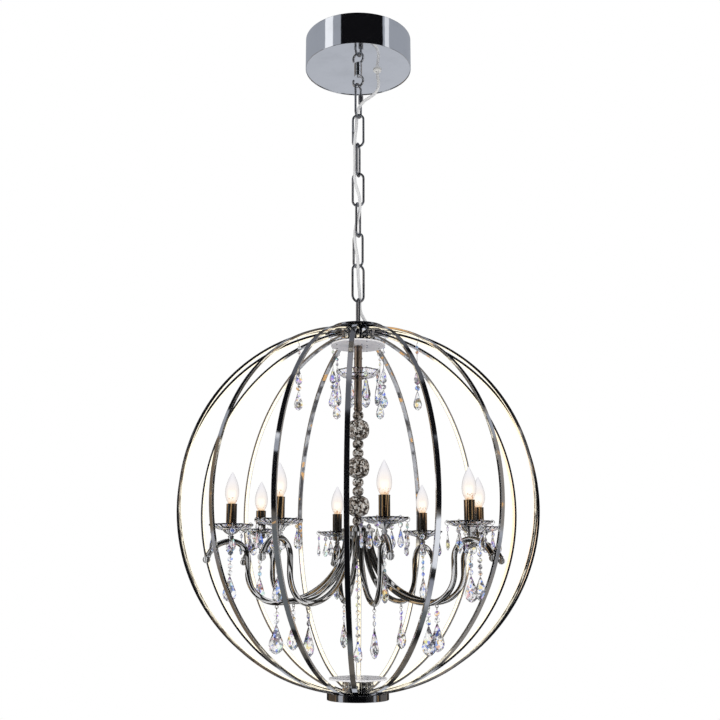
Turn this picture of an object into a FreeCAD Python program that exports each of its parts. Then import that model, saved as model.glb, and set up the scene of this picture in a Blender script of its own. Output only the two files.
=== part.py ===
import FreeCAD, Part
import Sketcher
import math
import os

from FreeCAD import Placement, Rotation, Vector

# Orb chandelier with eight candle lights, hung from a chain below a round ceiling canopy.
# Millimetres, +Z up. The origin is the middle of the face that lies on the ceiling.
# Azimuth 0 is the front, towards -Y, and grows towards +X.

SIZES = (
    # Canopy and its fixing to the ceiling
    ("canopy_diameter", 256, "drum over the ceiling box"),
    ("canopy_height", 78, "ceiling to the rim"),
    ("canopy_wall", 1.5, "sheet of the drum"),
    ("canopy_lip", 7, "inner lip that the plate lifts"),
    ("plate_thickness", 2, "bottom plate"),
    ("plate_recess", 1.5, "plate sits this far inside the rim"),
    ("plate_fit", 0.3, "plate to drum, all round"),
    ("bracket_length", 150, "cross bar on the ceiling box"),
    ("bracket_width", 26, ""),
    ("bracket_thickness", 3, ""),
    ("box_screw_pitch", 88.9, "screws of the ceiling box"),
    ("box_screw_hole", 5, ""),
    ("box_screw_slot", 10, "slot length beside the hole's width"),
    ("stem_diameter", 10, "threaded stem that carries everything"),
    ("stem_fit", 0.3, "stem in its holes, radial"),
    ("stem_nut_width", 17, "across flats"),
    ("stem_nut_height", 6, ""),
    ("collar_diameter", 19, "polished collar below the plate"),
    ("collar_length", 17, ""),
    ("hook_radius", 11, "inside of the hook"),
    ("hook_mouth", 70, "degrees left open"),
    ("driver_length", 140, "power supply of the light strips"),
    ("driver_width", 46, ""),
    ("driver_depth", 30, ""),
    ("driver_inset", 62, "middle of the power supply to the outside of the drum"),
    ("bushing_offset", 46.6, "cord bushing, to the right of the stem"),
    ("bushing_diameter", 20, ""),
    ("bushing_flange", 4.5, ""),
    ("bushing_neck", 13, "neck through the plate"),
    ("bushing_head", 3, "above the plate"),
    ("cord_diameter", 7, "clear round cord"),
    ("cord_fit", 0.3, "cord in the bushing, radial"),
    ("cord_pass", 36.5, "straight run of the cord beside each contact of two links"),
    # Chain
    ("chain_wire", 5.5, "wire of links and hook"),
    ("chain_gap", 0.3, "between a link and the next"),
    ("link_length", 87, "outside"),
    ("link_width", 31, "outside"),
    ("quick_link_length", 92, "outside"),
    ("quick_nut_diameter", 12, ""),
    ("quick_nut_length", 22, ""),
    ("quick_nut_fit", 0.1, "nut on its leg, radial"),
    ("quick_nut_drop", 38.5, "top of the link to the middle of the nut"),
    ("quick_mouth", 6.7, "gap in the leg that the nut closes"),
    ("quick_mouth_drop", 41.2, "top of the link to the middle of the gap"),
    ("big_link_length", 95, "outside"),
    ("big_link_width", 35, "outside"),
    ("hub_loop_width", 24, "outside"),
    ("hub_loop_height", 66.8, "cap to the middle of the loop's top wire"),
    ("loop_boss_diameter", 22, ""),
    ("loop_boss_height", 5, ""),
    # Orb of bands
    ("orb_radius", 400, "outside of the bands"),
    ("band_width", 10.5, ""),
    ("band_thickness", 5, ""),
    ("band_phase", -0.4, "azimuth of the front band, even pitch"),
    ("front_band_turn", -2.5, "the front band stands off its pitch"),
    ("band_tab", 22, "bent end along the hub's neck"),
    ("band_tab_thickness", 3, ""),
    ("light_width", 8, "light strip inside each band"),
    ("light_thickness", 1.6, ""),
    ("light_reach", 79, "degrees above and below the middle"),
    # Top hub
    ("cap_radius", 60, "disc over the ends of the bands"),
    ("cap_thickness", 4.5, ""),
    ("cap_clearance", 0.6, "above the top of the bands"),
    ("cap_edge", 1.5, "bevel"),
    ("cap_hole_x", 24.3, "hole of the cord in the cap"),
    ("cap_hole_y", 10, ""),
    ("cap_hole_radius", 5.5, ""),
    ("cap_hole_depth", 12, ""),
    ("top_neck_radius", 34, ""),
    ("top_flange_radius", 58, ""),
    ("hub_height", 41, "cap to the lower plate"),
    ("flange_thickness", 4, ""),
    ("hub_plate_radius", 62, "white plates"),
    ("hub_plate_thickness", 3.5, ""),
    # Bottom hub
    ("bottom_spool", 26.6, "white plate to the top of the ring"),
    ("bottom_neck_radius", 30, ""),
    ("ring_radius", 66, ""),
    ("ring_height", 14, ""),
    ("ring_wall", 2.5, ""),
    ("ring_floor", 2, ""),
    ("ring_gap", 0.2, "bands to the ring's inner edge"),
    ("finial_radius", 6, ""),
    ("finial_height", 4, ""),
    # Column
    ("tube_radius", 9, ""),
    ("tube_reach", 76, "underside of the upper dish to the end of the tube"),
    ("rod_radius", 4, "rod through the crystals"),
    ("rod_fit", 0.3, ""),
    ("small_ball_radius", 12.5, ""),
    ("small_ball_height", 20, ""),
    ("big_ball_radius", 25.5, ""),
    ("big_ball_height", 45, ""),
    ("upper_dish_drop", 74.6, "top plate to the underside of the upper dish"),
    ("upper_dish_radius", 47, ""),
    ("upper_dish_depth", 16, ""),
    ("seat_radius", 15, "disc that carries the upper dish"),
    ("seat_thickness", 3, ""),
    # Arms
    ("arm_count", 8, ""),
    ("arm_phase", 10.75, "azimuth of the first arm"),
    ("arm_radius", 6, "tube"),
    ("arm_hub_radius", 37, ""),
    ("arm_hub_height", 14, ""),
    ("arm_root", 26, "arm axis from the column at the hub"),
    ("arm_clearance", 118, "middle of the candle to the inside of the bands"),
    ("arm_turn_up", 63, "bend at the low point"),
    ("arm_riser", 27, "straight rise"),
    ("crook_inner", 38, "inner bend of the crook"),
    ("crook_outer", 52, "outer bend of the crook"),
    ("crook_end", 75, "degrees of the outer bend"),
    ("arm_tip", 8, "ball at the end"),
    ("hub_stem_radius", 7, ""),
    ("hub_stem_length", 58, ""),
    # Candles
    ("cup_height", 17, "arm to the underside of the dish"),
    ("cup_radius", 17, ""),
    ("cup_neck_radius", 5.5, ""),
    ("dish_radius", 45, "crystal dish of each candle"),
    ("dish_depth", 13, ""),
    ("dish_glass", 4.5, ""),
    ("dish_lobes", 12, ""),
    ("dish_bulge", 2.7, "of each lobe"),
    ("dish_floor_radius", 19, "flat part"),
    ("dish_flare", 12.5, "steeper part at the rim"),
    ("dish_knee", 4.5, "height where it starts"),
    ("dish_bore", 9.5, ""),
    ("sleeve_radius", 11.4, ""),
    ("sleeve_wall", 1, ""),
    ("sleeve_height", 52, ""),
    ("socket_radius", 9, ""),
    ("socket_drop", 4, "socket's rim below the sleeve's"),
    ("socket_bore", 6.5, ""),
    ("bulb_base_radius", 6.2, ""),
    ("bulb_base_length", 20, ""),
    ("bulb_radius", 15, ""),
    ("bulb_height", 68, "glass above the sleeve"),
    ("bulb_lift", 0.4, "glass above the sleeve's edge"),
    # Crystals
    ("wire_radius", 0.6, "pins and rings"),
    ("eye_wire", 0.9, "wire radius of the eyes"),
    ("eye_radius", 3.2, "middle radius of the eyes"),
    ("ring_radius_small", 3.2, "middle radius of the strings' rings"),
    ("first_bead", 1.5, "from the ring to the first bead"),
    ("bead_thickness", 5, ""),
    ("rim_ring_radius", 5, "rings round a dish's rim"),
    ("rim_ring_inset", 2.2, "middle of the ring from the edge"),
    ("rim_ring_drop", 3, "middle of the ring below the rim"),
    ("rim_hole_radius", 1.6, ""),
    ("rim_bead_radius", 6, ""),
    ("rim_pitch", 13.5, ""),
    ("rim_drop_length", 36, ""),
    ("rim_drop_width", 17, ""),
    ("rim_drop_count", 6, "round each dish"),
    ("crook_bead_radius", 6, ""),
    ("crook_pitch", 14, ""),
    ("crook_drop_length", 52, ""),
    ("crook_drop_width", 31, ""),
    ("crook_beads", 4, ""),
    ("low_bead_radius", 6.5, ""),
    ("low_pitch", 14, ""),
    ("low_drop_length", 60, ""),
    ("low_drop_width", 34, ""),
    ("low_beads", 2, ""),
    ("centre_bead_radius", 5.5, ""),
    ("centre_pitch", 16, ""),
    ("centre_drop_length", 46, ""),
    ("centre_drop_width", 21, ""),
    ("centre_clearance", 25, "least, from the string to the bottom plate"),
    ("upper_bead_radius", 6, ""),
    ("upper_pitch", 13.5, ""),
    ("upper_drop_length", 54, ""),
    ("upper_drop_width", 22, ""),
    ("upper_drop_count", 8, "round the upper dish"),
    ("band_drop_reach", 137, "from the column to the drops on bands"),
    ("band_ring_radius", 7.2, "rings round a band"),
    ("drop_flatness", 0.5, "thickness to width"),
)

# Planes of the hook and the links about the chain's axis, in degrees from the front plane, top to bottom
HOOK_TURN = -30
QUICK_LINK_TURN = 60
LINK_TURNS = (170, 75, 175, 70, 145)
BIG_LINK_TURN = 30
HUB_LOOP_TURN = 105

# The cord's route, in diameters of the cord. Where it passes each contact of two links, as X and Y from the
# chain's axis
CORD_PASSES = (
    (-0.5, 1.07), (-1.2, -0.76), (-1.2, -0.84), (0.64, -1.01), (-1.14, -0.36), (-0.06, -1.14), (0.59, 1.43))

# Its free ends: from the bushing to the chain (X and Y from the bushing, and how far down), and from the chain
# to the cap (X, Y and how far above it)
CORD_LEAD = (
    (0, 0, 3.14), (0.63, -0.29, 6.36), (-0.23, -0.43, 9.36), (-2.37, -0.43, 11.21), (-4.66, -0.36, 12.64),
    (-6.09, 0.43, 14.21))
CORD_TAIL = ((1.71, 1.51, 3.57), (3.09, 1.47, 1.29))

BAND_COUNT = 16
# Bands that carry a drop near the top, counted from the front one
BAND_DROPS = (4, 7, 9, 12)
BAND_SECTORS = ("front", "right", "rear", "left")
LINK_COUNT = len(LINK_TURNS)

doc = FreeCAD.newDocument("OrbChandelier")
sheet = doc.addObject("Spreadsheet::Sheet", "Sizes")
for row, (name, value, note) in enumerate(SIZES, 1):
    sheet.set("A%d" % row, name)
    sheet.set("B%d" % row, str(value))
    sheet.set("C%d" % row, note)
    sheet.setAlias("B%d" % row, name)
doc.recompute()

kept = []


def size(name):
    """The value of one cell of the sheet."""
    return float(sheet.get(name))


def count(name):
    return int(round(size(name)))


def keep(piece, label, place=None):
    """Names a sub-part, puts it in its place and notes it for export."""
    piece.Label = label
    if place is not None:
        piece.Placement = place
    kept.append(piece)
    return piece


def feature(label, shape, place=None):
    """A sub-part whose shape is worked out below from the sheet's values."""
    piece = doc.addObject("Part::Feature", label)
    piece.Shape = shape
    return keep(piece, label, place * shape.Placement)


def at(z, turn=0, x=0, y=0):
    return Placement(Vector(x, y, z), Rotation(Vector(0, 0, 1), turn))


def arm_azimuths():
    return [size("arm_phase") + 360.0 / count("arm_count") * i for i in range(count("arm_count"))]


def spun(outline):
    """A closed outline in the XZ plane, turned about Z. Corners are (radius, height)."""
    corners = [Vector(r, 0, z) for r, z in outline]
    face = Part.Face(Part.makePolygon(corners + corners[:1]))
    return face.revolve(Vector(0, 0, 0), Vector(0, 0, 1), 360)


def turned(label, corners):
    """A body turned from a sketch. Each corner is (radius, height), written with the sheet's names."""
    body = doc.addObject("PartDesign::Body", label)
    sketch = body.newObject("Sketcher::SketchObject", label + "_profile")
    plane = [item for item in body.Origin.OriginFeatures if item.Role == "XZ_Plane"][0]
    sketch.AttachmentSupport = [(plane, "")]
    sketch.MapMode = "FlatFace"
    number = len(corners)
    rough = [Vector(10 + 3 * i, 5 * i * (i % 3), 0) for i in range(number)]
    for i in range(number):
        sketch.addGeometry(Part.LineSegment(rough[i], rough[(i + 1) % number]), False)
    for i in range(number):
        sketch.addConstraint(Sketcher.Constraint("Coincident", i, 2, (i + 1) % number, 1))
    for i, corner in enumerate(corners):
        for kind, text, axis in zip(("DistanceX", "DistanceY"), corner, (-2, -1)):
            if text == "0":
                sketch.addConstraint(Sketcher.Constraint("PointOnObject", i, 1, axis))
            else:
                added = sketch.addConstraint(Sketcher.Constraint(kind, -1, 1, i, 1, 1.0 + i))
                sketch.setExpression("Constraints[%d]" % added, text)
    turn = body.newObject("PartDesign::Revolution", label + "_turn")
    turn.Profile = (sketch, [""])
    turn.ReferenceAxis = (sketch, ["V_Axis"])
    turn.Angle = 360.0
    return body


def bound(kind, name, **sizes):
    """A primitive whose properties follow the sheet."""
    item = doc.addObject(kind, name)
    for property_name, text in sizes.items():
        item.setExpression(property_name, text)
    return item


# Levels below the ceiling that several sub-parts share

def orb_level(height):
    """A height above the middle of the orb, as a level below the ceiling."""
    cap = pivots()[-1] + link_step() - size("hub_loop_height")
    return cap - cap_level() + height


def plate_level():
    """Underside of the canopy's plate."""
    return size("plate_recess") - size("canopy_height")


def hook_centre():
    return plate_level() - size("collar_length") - size("hook_radius") - size("chain_wire") / 2


def link_step():
    """From a link's own top wire to the wire of the link that it hangs on."""
    return size("chain_wire") + size("chain_gap")


def pivots():
    """Levels of the wires that the links hang on: the hook, each link's lower end, the big link's lower end."""
    level = hook_centre() - size("hook_radius") - size("chain_wire") / 2
    levels = [level]
    lengths = [size("quick_link_length")] + [size("link_length")] * LINK_COUNT + [size("big_link_length")]
    for length in lengths:
        level += link_step() - (length - size("chain_wire"))
        levels.append(level)
    return levels


def cap_level():
    """Top of the cap over the orb, above the middle of the orb."""
    return size("orb_radius") + size("cap_clearance") + size("cap_thickness")


def hub_plate_level():
    """Top of the white plate below the top hub, above the middle of the orb."""
    return cap_level() - size("hub_height")


def ring_level():
    """Top of the ring below the bands, above the middle of the orb."""
    edge = size("ring_radius") - size("ring_wall")
    return -math.sqrt(size("orb_radius") ** 2 - edge ** 2) - size("ring_gap")


def bottom_plate_level():
    """Top of the white plate over the bottom hub, above the middle of the orb."""
    return ring_level() + size("bottom_spool") + size("hub_plate_thickness")


def upper_dish_level():
    """Underside of the upper dish, above the middle of the orb."""
    return hub_plate_level() - size("hub_plate_thickness") - size("upper_dish_drop")


def tube_end():
    """End of the wide tube, where the crystals start, above the middle of the orb."""
    return upper_dish_level() - size("tube_reach")


def hub_bottom():
    """Underside of the arms' hub, above the middle of the orb."""
    stack = 3 * size("big_ball_height") + 6 * size("small_ball_height")
    return tube_end() - stack - size("arm_hub_height")


def arm_sweep():
    """Radius of the arm's large bend, for a candle that keeps its clearance to the bands."""
    candle = size("orb_radius") - size("band_thickness") - size("arm_clearance")
    return candle - size("arm_root") - size("arm_turn_up") - size("crook_inner")


def crest():
    """Radius and height of the arm's axis under the candle."""
    radius = size("arm_root") + arm_sweep() + size("arm_turn_up") + size("crook_inner")
    height = hub_bottom() - arm_sweep() + size("arm_turn_up") + size("arm_riser") + size("crook_inner")
    return radius, height


def low_point():
    """Radius and height of the arm's axis at its lowest."""
    return size("arm_root") + arm_sweep(), hub_bottom() - arm_sweep()


def dish_level():
    """Underside of the candle's dish, above the middle of the orb."""
    return crest()[1] + size("arm_radius") + size("cup_height")


def sleeve_level():
    """Foot of the candle's sleeve, on the floor of its dish."""
    return dish_level() + size("dish_glass")


# Canopy and what it hides

def canopy():
    inner = "(Sizes.canopy_diameter / 2 - Sizes.canopy_wall)"
    outer = "(Sizes.canopy_diameter / 2)"
    foot = "(-Sizes.canopy_height)"
    lip = "(Sizes.plate_recess + Sizes.plate_thickness - Sizes.canopy_height)"
    drum = turned("canopy_shell", [
        (outer, "0"), (outer, foot), (inner, foot), (inner, lip),
        (inner + " - Sizes.canopy_lip", lip), (inner + " - Sizes.canopy_lip", lip + " + Sizes.canopy_wall"),
        (inner, lip + " + Sizes.canopy_wall"), (inner, "0")])
    keep(drum, "canopy_shell", at(0))
    disc = bound("Part::Cylinder", "plate_disc", Height="Sizes.plate_thickness",
                 Radius="Sizes.canopy_diameter / 2 - Sizes.canopy_wall - Sizes.plate_fit")
    hole = bound("Part::Cylinder", "plate_stem_hole", Height="Sizes.plate_thickness",
                 Radius="Sizes.stem_diameter / 2 + Sizes.stem_fit")
    cord_hole = bound("Part::Cylinder", "plate_cord_hole", Height="Sizes.plate_thickness",
                      Radius="Sizes.bushing_neck / 2 + Sizes.stem_fit")
    cord_hole.setExpression("Placement.Base.x", "Sizes.bushing_offset")
    holes = doc.addObject("Part::MultiFuse", "plate_holes")
    holes.Shapes = [hole, cord_hole]
    plate = doc.addObject("Part::Cut", "plate_cut")
    plate.Base = disc
    plate.Tool = holes
    keep(plate, "canopy_plate", at(plate_level()))


def bracket():
    """Cross bar with round ends, a slot for each screw of the ceiling box and a hole for the stem."""
    def stadium(length, width, height):
        bar = Part.makeBox(length - width, width, height, Vector(-(length - width) / 2, -width / 2, 0))
        for side in (-1, 1):
            end = Part.makeCylinder(width / 2, height, Vector(side * (length - width) / 2, 0, 0))
            bar = bar.fuse(end)
        return bar.removeSplitter()

    thickness = size("bracket_thickness")
    bar = stadium(size("bracket_length"), size("bracket_width"), thickness)
    slot = stadium(size("box_screw_hole") + size("box_screw_slot"), size("box_screw_hole"), thickness)
    for side in (-1, 1):
        opening = slot.copy()
        opening.translate(Vector(side * size("box_screw_pitch") / 2, 0, 0))
        bar = bar.cut(opening)
    bar = bar.cut(Part.makeCylinder(size("stem_diameter") / 2 + size("stem_fit"), thickness))
    feature("ceiling_bracket", bar, at(-thickness))


def stem_nuts():
    """Two nuts: one under the cross bar, one on top of the plate."""
    across = size("stem_nut_width") / math.sqrt(3)
    corners = [Vector(across * math.cos(math.radians(60 * i)), across * math.sin(math.radians(60 * i)), 0)
               for i in range(6)]
    height = size("stem_nut_height")
    nut = Part.Face(Part.makePolygon(corners + corners[:1])).extrude(Vector(0, 0, height))
    nut = nut.cut(Part.makeCylinder(size("stem_diameter") / 2, height))
    upper = nut.copy()
    upper.translate(Vector(0, 0, -size("bracket_thickness") - height))
    lower = nut.copy()
    lower.translate(Vector(0, 0, plate_level() + size("plate_thickness")))
    feature("stem_nuts", Part.makeCompound([upper, lower]), at(0))


def hook():
    """Threaded stem, polished collar and the open hook that carries the chain."""
    wire = size("chain_wire") / 2
    middle = size("hook_radius") + wire
    top = -size("bracket_thickness") * 0.5
    stem = Part.makeCylinder(size("stem_diameter") / 2, top - plate_level(), Vector(0, 0, plate_level()))
    collar_foot = plate_level() - size("collar_length")
    collar = Part.makeCylinder(size("collar_diameter") / 2, size("collar_length"), Vector(0, 0, collar_foot))
    collar = collar.makeChamfer(1.0, [edge for edge in collar.Edges if edge.Curve.TypeId == "Part::GeomCircle"
                                      and edge.BoundBox.ZMax < collar_foot + 0.1])
    ring = Part.makeTorus(middle, wire, Vector(0, 0, 0), Vector(0, 0, 1), -180, 180, 360 - size("hook_mouth"))
    tip = Part.makeSphere(wire)
    tip.translate(Vector(middle, 0, 0))
    ring = ring.fuse(tip)
    # the closed end meets the collar, the mouth opens on the other side of the belly
    ring.Placement = Placement(Vector(0, 0, hook_centre()), Rotation(Vector(1, 0, 0), 90)) * Placement(
        Vector(0, 0, 0), Rotation(Vector(0, 0, 1), 90 + size("hook_mouth")))
    neck = Part.makeCylinder(wire, wire * 2, Vector(0, 0, collar_foot - wire * 1.6))
    piece = stem.fuse([collar, neck, ring])
    feature("hanger_hook", piece.removeSplitter(), at(0, HOOK_TURN))


def driver():
    """Power supply of the light strips: a closed case on the plate, with its cable ends."""
    length, width, depth = size("driver_length"), size("driver_width"), size("driver_depth")
    case = Part.makeBox(length, width, depth, Vector(-length / 2, -width / 2, 0))
    case = case.makeFillet(3.0, [edge for edge in case.Edges if abs(edge.tangentAt(0).z) > 0.9])
    foot = plate_level() + size("plate_thickness")
    behind = size("canopy_diameter") / 2 - size("driver_inset")
    feature("led_driver", case, at(foot, 0, 0, behind))


def bushing():
    """Round bushing: a flange below the plate, a neck through it, a bore for the cord."""
    bore = "(Sizes.cord_diameter / 2 + Sizes.cord_fit)"
    neck = "(Sizes.bushing_neck / 2)"
    flange = "(Sizes.bushing_diameter / 2)"
    bush = turned("cord_bushing", [
        (bore, "-Sizes.bushing_flange"), (flange + " - 1.5", "-Sizes.bushing_flange"),
        (flange, "-Sizes.bushing_flange + 1.5"), (flange, "0"), (neck, "0"),
        (neck, "Sizes.plate_thickness + Sizes.bushing_head"),
        (bore, "Sizes.plate_thickness + Sizes.bushing_head")])
    keep(bush, "cord_bushing", at(plate_level(), 0, size("bushing_offset")))


# Chain

def link(name, length, width, wire):
    """Two half rings and two straight legs in the XZ plane, hung by the middle of its top wire."""
    ring = "(Sizes.%s - %s) / 2" % (width, wire)
    leg = "(Sizes.%s - Sizes.%s)" % (length, width)
    parts = []
    for side, turn in (("upper", 90), ("lower", -90)):
        half = bound("Part::Torus", name + "_" + side, Radius1=ring, Radius2=wire + " / 2")
        half.Angle3 = 180
        half.Placement = Placement(Vector(0, 0, 0), Rotation(Vector(1, 0, 0), turn))
        text = "-(%s)" % ring if side == "upper" else "-(%s) - %s" % (ring, leg)
        half.setExpression("Placement.Base.z", text)
        parts.append(half)
    for side, sign in (("left", "-"), ("right", "")):
        rod = bound("Part::Cylinder", name + "_" + side, Radius=wire + " / 2", Height=leg)
        rod.setExpression("Placement.Base.x", "%s(%s)" % (sign, ring))
        rod.setExpression("Placement.Base.z", "-(%s) - %s" % (ring, leg))
        parts.append(rod)
    whole = doc.addObject("Part::MultiFuse", name + "_shape")
    whole.Shapes = parts
    return whole


def chain():
    levels = pivots()
    wire = "Sizes.chain_wire"
    step = link_step()
    for i, turn in enumerate(LINK_TURNS):
        name = "chain_link_%d" % (i + 1)
        keep(link(name, "link_length", "link_width", wire), name, at(levels[i + 1] + step, turn))
    large = link("large_link", "big_link_length", "big_link_width", wire)
    keep(large, "large_link", at(levels[LINK_COUNT + 1] + step, BIG_LINK_TURN))

    whole = link("quick_link", "quick_link_length", "link_width", wire)
    mouth = bound("Part::Cylinder", "quick_link_mouth", Radius="Sizes.chain_wire", Height="Sizes.quick_mouth")
    mouth.setExpression("Placement.Base.x", "(Sizes.link_width - Sizes.chain_wire) / 2")
    mouth.setExpression("Placement.Base.z",
                        "Sizes.chain_wire / 2 - Sizes.quick_mouth_drop - Sizes.quick_mouth / 2")
    opened = doc.addObject("Part::Cut", "quick_link_open")
    opened.Base = whole
    opened.Tool = mouth
    keep(opened, "quick_link", at(levels[0] + step, QUICK_LINK_TURN))
    quick_nut(levels[0] + step)


def quick_nut(top):
    """Sleeve nut with flutes, on the right leg of the quick link."""
    radius, length = size("quick_nut_diameter") / 2, size("quick_nut_length")
    nut = Part.makeCylinder(radius, length)
    nut = nut.makeChamfer(0.8, [edge for edge in nut.Edges if edge.Curve.TypeId == "Part::GeomCircle"])
    flute = Part.makeCylinder(0.9, length * 0.7, Vector(radius + 0.35, 0, length * 0.15))
    flutes = []
    for i in range(16):
        cut = flute.copy()
        cut.rotate(Vector(0, 0, 0), Vector(0, 0, 1), 22.5 * i)
        flutes.append(cut)
    bore = size("chain_wire") / 2 + size("quick_nut_fit")
    nut = nut.cut(flutes + [Part.makeCylinder(bore, length)])
    leg = (size("link_width") - size("chain_wire")) / 2
    turn = math.radians(QUICK_LINK_TURN)
    level = top + size("chain_wire") / 2 - size("quick_nut_drop") - length / 2
    feature("quick_link_nut", nut, at(level, 0, leg * math.cos(turn), leg * math.sin(turn)))


def hub_loop():
    """Loop on the cap: a half ring, two legs and a round boss."""
    wire = size("chain_wire") / 2
    ring = size("hub_loop_width") / 2 - wire
    top = pivots()[-1] + link_step()
    foot = orb_level(cap_level())
    arch = Part.makeTorus(ring, wire, Vector(0, 0, 0), Vector(0, 0, 1), -180, 180, 180)
    arch.Placement = Placement(Vector(0, 0, top - ring), Rotation(Vector(1, 0, 0), 90))
    boss_top = foot + size("loop_boss_height")
    leg = top - ring - boss_top
    legs = [Part.makeCylinder(wire, leg, Vector(side * ring, 0, boss_top)) for side in (-1, 1)]
    boss = Part.makeCylinder(size("loop_boss_diameter") / 2 + wire, boss_top - foot, Vector(0, 0, foot))
    feature("hub_loop", arch.fuse(legs + [boss]).removeSplitter(), at(0, HUB_LOOP_TURN))


# Cord

def cord_route():
    """The cord from the bushing, down to the chain, in and out of its links and into the cap."""
    levels = pivots()
    start = plate_level() + size("plate_thickness") + size("bushing_head")
    side = size("bushing_offset")
    route = [Vector(side, 0, start)]
    cord = size("cord_diameter")
    for x, y, down in CORD_LEAD:
        route.append(Vector(side + x * cord, y * cord, start - down * cord))
    half = size("cord_pass") / 2
    for level, (x, y) in zip(levels[1:], CORD_PASSES):
        route.append(Vector(x * cord, y * cord, level + half))
        route.append(Vector(x * cord, y * cord, level - half))
    foot = orb_level(cap_level())
    for x, y, up in CORD_TAIL:
        route.append(Vector(x * cord, y * cord, foot + up * cord))
    route.append(Vector(size("cap_hole_x"), size("cap_hole_y"), foot - size("cap_hole_depth") * 0.6))
    return route


def tangent_path(points):
    """Straight runs joined by tangent arcs, each as large as its two runs allow."""
    edges = []
    begin = points[0]
    radii = []
    for before, corner, after in zip(points, points[1:], points[2:]):
        arrive = (corner - before).normalize()
        leave = (after - corner).normalize()
        reach = 0.45 * min((corner - before).Length, (after - corner).Length)
        half_turn = arrive.getAngle(leave) / 2
        radii.append(reach / math.tan(half_turn))
        first, last = corner - arrive * reach, corner + leave * reach
        inwards = (leave - arrive).normalize()
        sagitta = radii[-1] * (1 / math.cos(half_turn) - 1)
        edges.append(Part.LineSegment(begin, first).toShape())
        edges.append(Part.Arc(first, corner + inwards * sagitta, last).toShape())
        begin = last
    edges.append(Part.LineSegment(begin, points[-1]).toShape())
    return Part.Wire(edges), radii


def cord():
    path, radii = tangent_path(cord_route())
    radius = size("cord_diameter") / 2
    start = path.OrderedVertexes[0].Point
    heading = path.OrderedEdges[0].tangentAt(path.OrderedEdges[0].FirstParameter)
    face = Part.Face(Part.Wire(Part.makeCircle(radius, start, heading)))
    tube = path.makePipe(face)
    print("cord: length %.0f mm, volume to section times length %.4f" % (
        path.Length, tube.Volume / (math.pi * radius ** 2 * path.Length)))
    print("cord: smallest bend radius %.0f mm of %s" % (min(radii), [round(r) for r in radii]))
    feature("power_cord", tube, at(0))


# Orb

def band_azimuths():
    even = [size("band_phase") + 360.0 / BAND_COUNT * i for i in range(BAND_COUNT)]
    even[0] += size("front_band_turn")
    return even


def ring_piece(outer, inner, width, top_radius, bottom_radius):
    """A piece of a flat ring that stands in the XZ plane, from one distance from the axis to another."""
    def corner(radius, reach, up):
        height = math.sqrt(radius ** 2 - reach ** 2)
        return Vector(reach, 0, height if up else -height)

    def rim(radius):
        return Part.Arc(corner(radius, top_radius, True), Vector(radius, 0, 0), corner(radius, bottom_radius, False))

    outside, inside = rim(outer), rim(inner)
    edges = [outside.toShape(), inside.toShape(),
             Part.makeLine(outside.StartPoint, inside.StartPoint),
             Part.makeLine(outside.EndPoint, inside.EndPoint)]
    face = Part.Face(Part.Wire(Part.__sortEdges__(edges)))
    face.translate(Vector(0, -width / 2, 0))
    return face.extrude(Vector(0, width, 0))


def band():
    """One half hoop from neck to neck, with a bent tab at each end that lies along the neck."""
    outer = size("orb_radius")
    inner = outer - size("band_thickness")
    width = size("band_width")
    top, bottom = size("top_neck_radius"), size("bottom_neck_radius")
    hoop = ring_piece(outer, inner, width, top, bottom)
    tab, reach = size("band_tab_thickness"), size("band_tab")
    upper = Part.makeBox(tab, width, reach, Vector(top, -width / 2, inner - reach))
    lower = Part.makeBox(tab, width, reach, Vector(bottom, -width / 2, -inner))
    return hoop.fuse([upper, lower]).removeSplitter()


def turned_copy(shape, azimuth):
    """A piece made in the XZ plane, turned to its azimuth and set at the level of the orb."""
    copy = shape.copy()
    copy.rotate(Vector(0, 0, 0), Vector(0, 0, 1), azimuth - 90)
    return copy


def bands():
    hoop = band()
    per_sector = BAND_COUNT // len(BAND_SECTORS)
    azimuths = band_azimuths()
    for i, sector in enumerate(BAND_SECTORS):
        first = i * per_sector - per_sector // 2
        group = [turned_copy(hoop, azimuths[(first + j) % BAND_COUNT]) for j in range(per_sector)]
        feature("bands_" + sector, Part.makeCompound(group), at(orb_level(0)))


def light_strips():
    inner = size("orb_radius") - size("band_thickness")
    end = inner * math.cos(math.radians(size("light_reach")))
    strip = ring_piece(inner, inner - size("light_thickness"), size("light_width"), end, end)
    group = [turned_copy(strip, azimuth) for azimuth in band_azimuths()]
    feature("light_strips", Part.makeCompound(group), at(orb_level(0)))


def top_hub():
    """Cap, neck and flange in one turned piece with a hole for the cord, and the white plate below."""
    flange = "-(Sizes.hub_height - Sizes.flange_thickness)"
    hub = turned("top_hub_turned", [
        ("0", "0"), ("Sizes.cap_radius - Sizes.cap_edge", "0"), ("Sizes.cap_radius", "-Sizes.cap_edge"),
        ("Sizes.cap_radius", "-Sizes.cap_thickness"), ("Sizes.top_neck_radius", "-Sizes.cap_thickness"),
        ("Sizes.top_neck_radius", flange), ("Sizes.top_flange_radius", flange),
        ("Sizes.top_flange_radius", "-Sizes.hub_height"), ("0", "-Sizes.hub_height")])
    hole = bound("Part::Cylinder", "top_hub_hole", Radius="Sizes.cap_hole_radius",
                 Height="Sizes.cap_hole_depth")
    hole.setExpression("Placement.Base.x", "Sizes.cap_hole_x")
    hole.setExpression("Placement.Base.y", "Sizes.cap_hole_y")
    hole.setExpression("Placement.Base.z", "-Sizes.cap_hole_depth")
    drilled = doc.addObject("Part::Cut", "top_hub_drilled")
    drilled.Base = hub
    drilled.Tool = hole
    keep(drilled, "top_hub", at(orb_level(cap_level())))
    edge = "Sizes.hub_plate_radius"
    plate = turned("top_plate", [
        ("0", "0"), (edge, "0"), (edge, "-Sizes.hub_plate_thickness + 1"),
        (edge + " - 1", "-Sizes.hub_plate_thickness"), ("0", "-Sizes.hub_plate_thickness")])
    keep(plate, "top_plate", at(orb_level(hub_plate_level())))


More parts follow.
